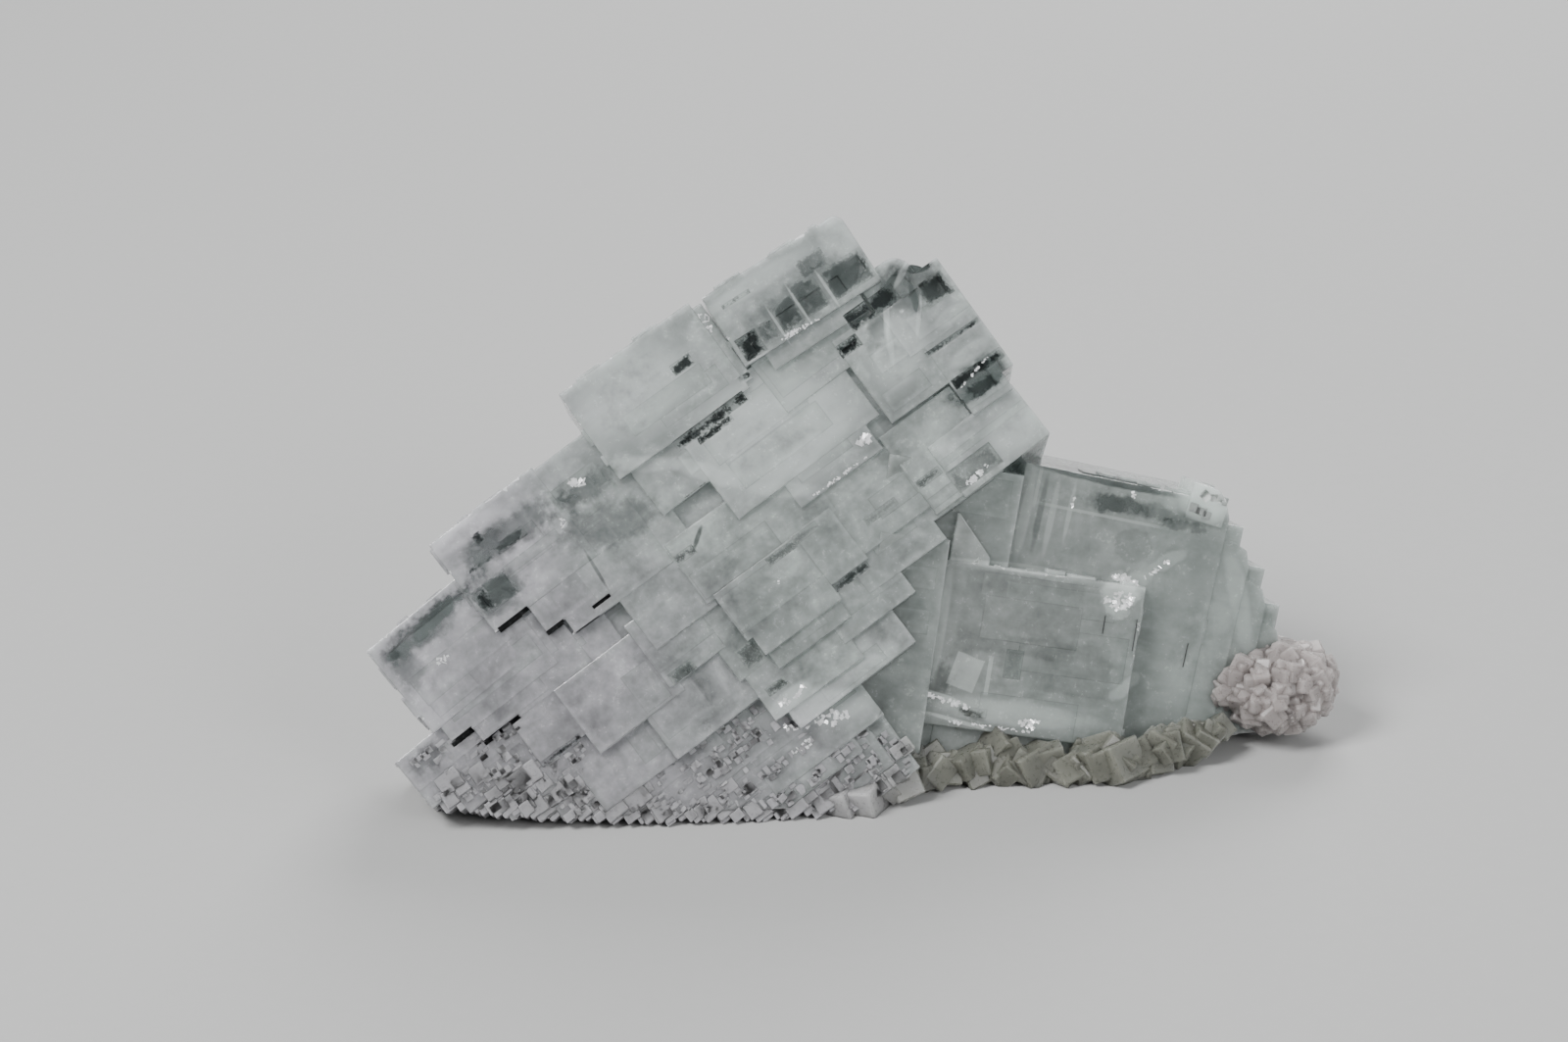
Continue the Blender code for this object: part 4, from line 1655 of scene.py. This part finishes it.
@dataclass(frozen=True)
class SpecimenBody:
    """Both groups of cubes, grown together and cut off above the surface."""

    groups: Sequence[CubeGroup]
    seed: int = 23

    def build(self) -> bpy.types.Object:
        """Grows the body and dresses it.

        Returns:
            The piece.
        """
        rng = random.Random(self.seed)
        climbing, upright = self.groups
        materials = [
            FluoriteFinish(
                "climbing_fluorite", climbing.lattice, CLIMBING_VEILS,
                lilac=(0.42, 0.415, 0.435), green=(0.39, 0.425, 0.41),
                milk=0.80, lilac_side=-24.0, contrast=0.85,
            ).material(),
            FluoriteFinish(
                "upright_fluorite", upright.lattice, UPRIGHT_VEILS,
                lilac=(0.36, 0.385, 0.372), green=(0.335, 0.373, 0.355),
                milk=0.82, lilac_side=4.0, contrast=0.6, front=10.0,
            ).material(),
            SlotFinish("slot_shadow").material(),
            BrokenFinish(
                "broken_edge", left=(0.66, 0.67, 0.68), right=(0.60, 0.63, 0.61), turning=(-10, 20),
            ).material(),
        ]
        blocks = [block for group in self.groups for block in group.blocks(rng)]
        LOG.info("body: %d blocks grow together", len(blocks))
        grower = Grower("fluorite_body", blocks, materials)
        grower.cut_below(BASE_CLEARANCE)
        grower.cut(cutter for group in self.groups for cutter in group.cutters())
        grower.cut(chip for group in self.groups for chip in group.chips(rng))
        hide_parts(NODE)
        return ready(grower.piece)

    def build_sugar(self) -> bpy.types.Object:
        """Scatters small crystals over the rough cubes.

        Returns:
            The piece.
        """
        rng = random.Random(self.seed)
        material = BrokenFinish(
            "sugar_fluorite", left=(0.37, 0.365, 0.38), right=(0.35, 0.375, 0.362), turning=(-4, 14),
            transmission=0.05, scatter=1.2,
        ).material()
        blocks = [block for group in self.groups for block in group.sugar(rng)]
        return ready(heap("sugar_crystals", blocks, material))

    def build_flakes(self) -> bpy.types.Object:
        """Lays bright flakes where the crystal is fractured; their white colour and glow are partly white
        fractures and partly painted glints.

        Returns:
            The piece.
        """
        rng = random.Random(self.seed)
        # Near white and glowing: white fractures, with painted glints and painted glow.
        material = BrokenFinish(
            "bright_flakes", left=(0.93, 0.93, 0.94), right=(0.92, 0.93, 0.93), turning=(-10, 20),
            roughness=0.16, scatter=0.6, contrast=0.1, mirror=0.3, painted_glow=0.35,
        ).material()
        blocks = [block for group in self.groups for block in group.flake_blocks(rng)]
        return ready(heap("bright_flakes", blocks, material))


# ---------------------------------------------------------------------------
# Crust, feet and lump
# ---------------------------------------------------------------------------


@dataclass(frozen=True)
class Grade:
    """How fine or coarse one part of the crust is, in millimetres."""

    sizes: Span
    step: float  # between crystals along the front edge
    scatter: tuple[float, float, float]  # how far each strays from there
    top: float  # how far up they reach
    density: float  # crystals on a square millimetre at the surface
    bevel: float  # as a share of a crystal's size
    root: float  # how deep a crystal is set, as a share of its size


@dataclass(frozen=True)
class BaseCrust:
    """The druse along the base, and the feet that reach down to the surface."""

    # The front edge of the base, from left to right, as x, y and z of its crust.
    edge: Sequence[tuple[float, float, float]] = (
        (-44.0, -9.6, 3.2),
        (-34.0, -12.2, 2.0),
        (-23.6, -15.6, 1.5),
        (-10.0, -16.0, 1.5),
        (-2.0, -16.0, 1.5),
        (3.5, -12.4, 1.6),
        (9.0, -9.8, 1.6),
        (19.0, -11.4, 1.5),
        (30.0, -11.0, 1.7),
        (37.0, -7.0, 3.3),
    )
    fine: Grade = Grade((0.3, 0.8), 0.2, (0.7, 0.7, 0.7), 4.6, 1.2, 0.06, 0.42)
    fine_misfit: float = 16.0  # in degrees, from the climbing lattice
    coarse: Grade = Grade((1.2, 4.0), 0.45, (1.2, 1.4, 0.8), 2.8, 0.48, 0.05, 0.0)
    coarse_misfit: float = 34.0  # in degrees, from the upright lattice, stood on an edge
    coarse_from: float = -1.0  # the x where the coarse part starts
    edge_overlap: float = 1.0  # how far left of that its front edge starts
    fading: float = 1.6  # the height over which the crust thins out to about a third
    skin: float = 0.01  # what is no higher than this above the cut has no crust
    level: float = 0.8  # what faces up more than this has no crust
    tallest: float = 1.1  # a crystal's largest size, as a share of its height up the crust

    # x and y of each foot, and the size of its crystal.
    feet: Sequence[tuple[float, float, float]] = (
        (-34.0, -2.0, 10.0),
        (-20.0, -7.0, 10.0),
        (-4.0, -8.0, 10.0),
        (13.0, -4.0, 10.0),
        (27.0, 0.5, 9.0),
        (-18.0, 6.0, 11.0),
        (2.0, 8.0, 13.0),
        (24.0, 10.0, 12.0),
    )
    foot_depth: float = 0.8
    foot_height: float = 0.3
    foot_tilt: Span = (8.0, 16.0)
    foot_growth: Growth = Growth(0.4)

    # The toe of the climbing group, from left to right, as along and up in its lattice.
    toe: Sequence[Span] = (
        (-40.5, 19.4),
        (-35.5, 14.6),
        (-27.0, 7.6),
        (-14.5, -1.4),
        (-6.0, -6.2),
        (0.0, -6.6),
    )
    toe_rows: Sequence[float] = (0.0, 0.9, 1.9)  # how far above the toe each row is
    toe_sizes: Span = (0.8, 2.4)
    toe_length: Span = (0.8, 1.5)  # of a cube, as a share of its size
    toe_step: float = 0.8
    toe_front: Span = (17.7, 16.4)  # how far out their front faces are, at the left and at the right
    toe_proud: Span = (-0.25, 0.15)  # added to that
    toe_depth: float = 4.0
    toe_misfit: float = 3.0  # in degrees
    toe_tone: Span = (0.3, 0.7)
    seed: int = 5

    def _feet(self, rng: random.Random) -> Iterator[Block]:
        """The crystals that reach down to the surface.

        Args:
            rng: Where their turns are drawn from.

        Yields:
            One block for each foot.
        """
        for x, y, size in self.feet:
            place = (
                Matrix.Translation(Vector(GROWTH_START) + Vector((x, y, size * self.foot_height)))
                @ Matrix.Rotation(rng.uniform(0, math.tau), 4, "Z")
                @ Matrix.Rotation(math.radians(rng.uniform(*self.foot_tilt)), 4, "X")
            )
            sides = Vector((size, size * self.foot_depth, size))
            yield Block(sides, place, self.foot_growth, bevel=BEVEL)

    def _turn(self, grade: Grade, rng: random.Random) -> Matrix:
        """The direction of a crystal of the crust.

        Args:
            grade: Its part of the crust.
            rng: Where it is drawn from.

        Returns:
            The climbing lattice's direction, or the upright one's stood on an edge, or nearly so.
        """
        if grade is self.fine:
            return CLIMBING.matrix() @ slight_turn(self.fine_misfit, rng)
        return UPRIGHT.matrix() @ slight_turn(self.coarse_misfit, rng) @ Matrix.Rotation(math.pi / 4, 4, "Y")

    def _edge(self, grade: Grade, rng: random.Random) -> Iterator[Block]:
        """Crystals side by side along one part of the front edge.

        Args:
            grade: The part.
            rng: Where the crystals are drawn from.

        Yields:
            One block for each crystal.
        """
        for start, end in zip(self.edge, self.edge[1:]):
            if (start[0] >= self.coarse_from - self.edge_overlap) != (grade is self.coarse):
                continue
            run = Vector(end) - Vector(start)
            steps = max(1, round(run.length / grade.step))
            for step in range(steps):
                place = Vector(GROWTH_START) + Vector(start) + run * (step / steps)
                place += Vector([rng.uniform(-1, 1) * part for part in grade.scatter])
                turn = self._turn(grade, rng)
                yield small_crystal(place, rng.uniform(*grade.sizes), rng, grade.bevel, turn)

    def _fill(self, rng: random.Random) -> Iterator[Block]:
        """Cubes that fill the gaps along the toe.

        Args:
            rng: Where the cubes are drawn from.

        Yields:
            One block for each cube.
        """
        first, last = self.toe[0][0], self.toe[-1][0]
        for start, end in zip(self.toe, self.toe[1:]):
            run = Vector(end) - Vector(start)
            steps = max(1, round(run.length / self.toe_step))
            for step, row in product(range(steps), self.toe_rows):
                size = rng.uniform(*self.toe_sizes)
                at = Vector(start) + run * ((step + rng.random()) / steps) + Vector((row, row))
                share = (at.x - first) / (last - first)
                front = self.toe_front[0] + share * (self.toe_front[1] - self.toe_front[0])
                out = front + rng.uniform(*self.toe_proud) - self.toe_depth / 2
                place = CLIMBING.place(at.x + size / 2, at.y + size / 2, out)
                place = place @ slight_turn(self.toe_misfit, rng)
                sides = Vector((size * rng.uniform(*self.toe_length), self.toe_depth, size))
                growth = Growth(rng.uniform(*self.toe_tone), frost=CRYSTAL_FROST)
                yield Block(sides, place, growth, bevel=self.fine.bevel * size)

    def _round(self, body: bpy.types.Mesh, grade: Grade, rng: random.Random) -> Iterator[Block]:
        """Crystals scattered over the low faces of the body.

        Args:
            body: The body's mesh.
            grade: The part of the crust that they belong to.
            rng: Where the crystals are drawn from.

        Yields:
            One block for each crystal.
        """
        body.calc_loop_triangles()
        for triangle in body.loop_triangles:
            corners = [body.vertices[index].co / MM for index in triangle.vertices]
            middle = sum(corners, Vector()) / 3
            if (middle.x > self.coarse_from) != (grade is self.coarse):
                continue
            if not BASE_CLEARANCE + self.skin <= middle.z <= grade.top or triangle.normal.z > self.level:
                continue
            density = grade.density * math.exp((BASE_CLEARANCE - middle.z) / self.fading)
            for _ in range(drawn_count(triangle.area / MM**2 * density, rng)):
                first, second = sorted((rng.random(), rng.random()))
                place = corners[0] * first + corners[1] * (second - first) + corners[2] * (1 - second)
                size = min(rng.uniform(*grade.sizes), self.tallest * place.z)
                place -= triangle.normal * (size * grade.root)
                yield small_crystal(place, size, rng, grade.bevel, self._turn(grade, rng))

    def build(self, body: bpy.types.Object) -> bpy.types.Object:
        """Grows the coarse part of the crust, with the feet, into one closed piece.

        Args:
            body: The body.

        Returns:
            The piece.
        """
        rng = random.Random(self.seed)
        # The right-hand colour is olive grey darkened to the shade under the upright group's overhang: partly
        # its own colour, partly painted shade.
        material = BrokenFinish(
            "base_crust", left=(0.42, 0.415, 0.42), right=(0.165, 0.167, 0.14), turning=(-4, 8),
            transmission=0.12, scatter=5.0, contrast=0.5, grain_depth=0.004,
        ).material()
        blocks = [*self._feet(rng), *self._edge(self.coarse, rng),
                  *self._round(body.data, self.coarse, rng)]
        LOG.info("coarse crust: %d crystals", len(blocks))
        grower = Grower("base_crust", blocks, [material])
        grower.cut_below(0.0)
        return ready(grower.piece)

    def build_fine(self, body: bpy.types.Object) -> bpy.types.Object:
        """Strews the fine part of the crust along the base.

        Args:
            body: The body.

        Returns:
            The piece.
        """
        rng = random.Random(self.seed)
        material = BrokenFinish(
            "fine_druse", left=(0.37, 0.365, 0.378), right=(0.30, 0.31, 0.285), turning=(-2, 10),
            transmission=0.05, scatter=1.2,
        ).material()
        blocks = [*self._fill(rng), *self._edge(self.fine, rng), *self._round(body.data, self.fine, rng)]
        LOG.info("fine crust: %d crystals", len(blocks))
        return ready(heap("fine_druse", blocks, material))


@dataclass(frozen=True)
class EndLump:
    """The pale pinkish heap of small crystals at the right end."""

    centre: tuple[float, float, float] = (43.3, -2.6, 5.8)
    radii: tuple[float, float, float] = (6.2, 5.6, 4.2)
    core: Span = (3.6, 5.4)
    core_count: int = 24
    core_reach: Span = (0.2, 0.62)  # from the centre, as a share of the radii
    outer: Span = (0.9, 2.1)
    outer_count: int = 480
    outer_reach: Span = (0.84, 1.04)
    bevel: float = 0.12  # as a share of a crystal's size
    seed: int = 8

    def build(self) -> bpy.types.Object:
        """Grows the crystals together.

        Returns:
            The piece.
        """
        rng = random.Random(self.seed)
        blocks = []
        for number in range(self.core_count + self.outer_count):
            inner = number < self.core_count
            way = Vector([rng.gauss(0, 1) for _ in AXES]).normalized()
            reach = rng.uniform(*(self.core_reach if inner else self.outer_reach))
            offset = Vector([part * radius * reach for part, radius in zip(way, self.radii)])
            place = Vector(GROWTH_START) + Vector(self.centre) + offset
            size = rng.uniform(*(self.core if inner else self.outer))
            blocks.append(small_crystal(place, size, rng, self.bevel))
        material = BrokenFinish(
            "end_lump", left=(0.33, 0.30, 0.29), right=(0.36, 0.325, 0.315), turning=(30, 50),
            scatter=4.0, transmission=0.12, grain_depth=0.006,
        ).material()
        grower = Grower("end_lump", blocks, [material])
        grower.cut_below(0.0)
        return ready(grower.piece)


# ---------------------------------------------------------------------------
# Studio
# ---------------------------------------------------------------------------


@dataclass(frozen=True)
class SoftBox:
    """A square soft light that points at the specimen."""

    name: str
    place: tuple[float, float, float]  # in metres
    size: float
    power: float
    colour: Colour = (1.0, 1.0, 1.0)
    aim: tuple[float, float, float] = (0.0, 0.0, 0.025)

    def build(self) -> None:
        """Hangs the light."""
        data = bpy.data.lights.new(self.name, "AREA")
        data.shape = "SQUARE"
        data.size = self.size
        data.energy = self.power
        data.color = self.colour
        light = in_scene(self.name, data)
        light.location = self.place
        way = Vector(self.aim) - Vector(self.place)
        light.rotation_euler = way.to_track_quat("-Z", "Y").to_euler()


@dataclass(frozen=True)
class Studio:
    """A pale floor, soft light and the camera."""

    floor_radius: float = 4.0
    floor_sides: int = 96
    floor_colour: Colour = (0.41, 0.41, 0.405)
    floor_grain: Noise = Noise(0.6)
    floor_shade: float = 0.97  # how dark its grain is
    floor_roughness: float = 0.75
    grain_rough: float = 0.1
    world_colour: Colour = (0.62, 0.64, 0.66)
    world_strength: float = 0.38
    camera_place: tuple[float, float, float] = (-0.00734, -0.35501, 0.16415)
    camera_down: float = 21.324  # degrees below the horizon
    camera_roll: float = -2.623
    lens: float = 82.836
    nearest: float = 0.01  # what is nearer to the camera isn't seen
    lights: Sequence[SoftBox] = (
        SoftBox("key", (-0.55, -0.35, 0.80), 0.40, 14.0),
        SoftBox("front", (0.75, -1.05, 0.62), 0.42, 8.0),
        SoftBox("fill", (0.85, -0.35, 0.45), 0.70, 3.0, (0.95, 0.98, 1.0)),
        SoftBox("rim", (0.20, 0.75, 0.60), 0.50, 9.0),
    )

    def floor(self) -> None:
        """Lays the floor."""
        shape = bmesh.new()
        bmesh.ops.create_circle(shape, cap_ends=True, segments=self.floor_sides, radius=self.floor_radius)
        mesh = bpy.data.meshes.new("floor")
        shape.to_mesh(mesh)
        shape.free()
        tree = Tree("pale_floor")
        grain = tree.noise(tree.coordinates(Matrix.Identity(4)), self.floor_grain)
        darker = tuple(part * self.floor_shade for part in self.floor_colour)
        surface = tree.principled(
            Base_Color=tree.mix(grain, self.floor_colour, darker),
            Roughness=self.floor_roughness + grain * self.grain_rough,
        )
        mesh.materials.append(tree.finish(surface))
        floor = in_scene("floor", mesh)

    def world(self) -> None:
        """Fills the room with even light."""
        world = bpy.data.worlds.new("room")
        world.use_nodes = True
        background = world.node_tree.nodes["Background"]
        background.inputs["Color"].default_value = (*self.world_colour, 1.0)
        background.inputs["Strength"].default_value = self.world_strength
        bpy.context.scene.world = world

    def camera(self) -> None:
        """Sets up the camera."""
        data = bpy.data.cameras.new("camera")
        data.lens = self.lens
        data.clip_start = self.nearest
        camera = in_scene("camera", data)
        camera.matrix_world = (
            Matrix.Translation(self.camera_place)
            @ Matrix.Rotation(math.radians(90 - self.camera_down), 4, "X")
            @ Matrix.Rotation(math.radians(self.camera_roll), 4, "Z")
        )
        bpy.context.scene.camera = camera

    def build(self) -> None:
        """Builds all of it."""
        self.floor()
        self.world()
        self.camera()
        for light in self.lights:
            light.build()


def main() -> None:
    """Builds the studio and every piece, in order."""
    logging.basicConfig(level=logging.INFO, format="%(name)s: %(message)s")
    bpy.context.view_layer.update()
    Studio().build()
    climbing = CubeGroup(CLIMBING, Coat.CLIMBING, CLIMBING_CUBES, CLIMBING_WINDOWS,
                         CLIMBING_SLOTS, CLIMBING_FLAKES, -1)
    upright = CubeGroup(UPRIGHT, Coat.UPRIGHT, UPRIGHT_CUBES, UPRIGHT_WINDOWS,
                        UPRIGHT_SLOTS, UPRIGHT_FLAKES, 1)
    specimen = SpecimenBody((climbing, upright))
    body = specimen.build()
    specimen.build_sugar()
    specimen.build_flakes()
    crust = BaseCrust()
    crust.build(body)
    crust.build_fine(body)
    EndLump().build()


if __name__ == "__main__":
    main()
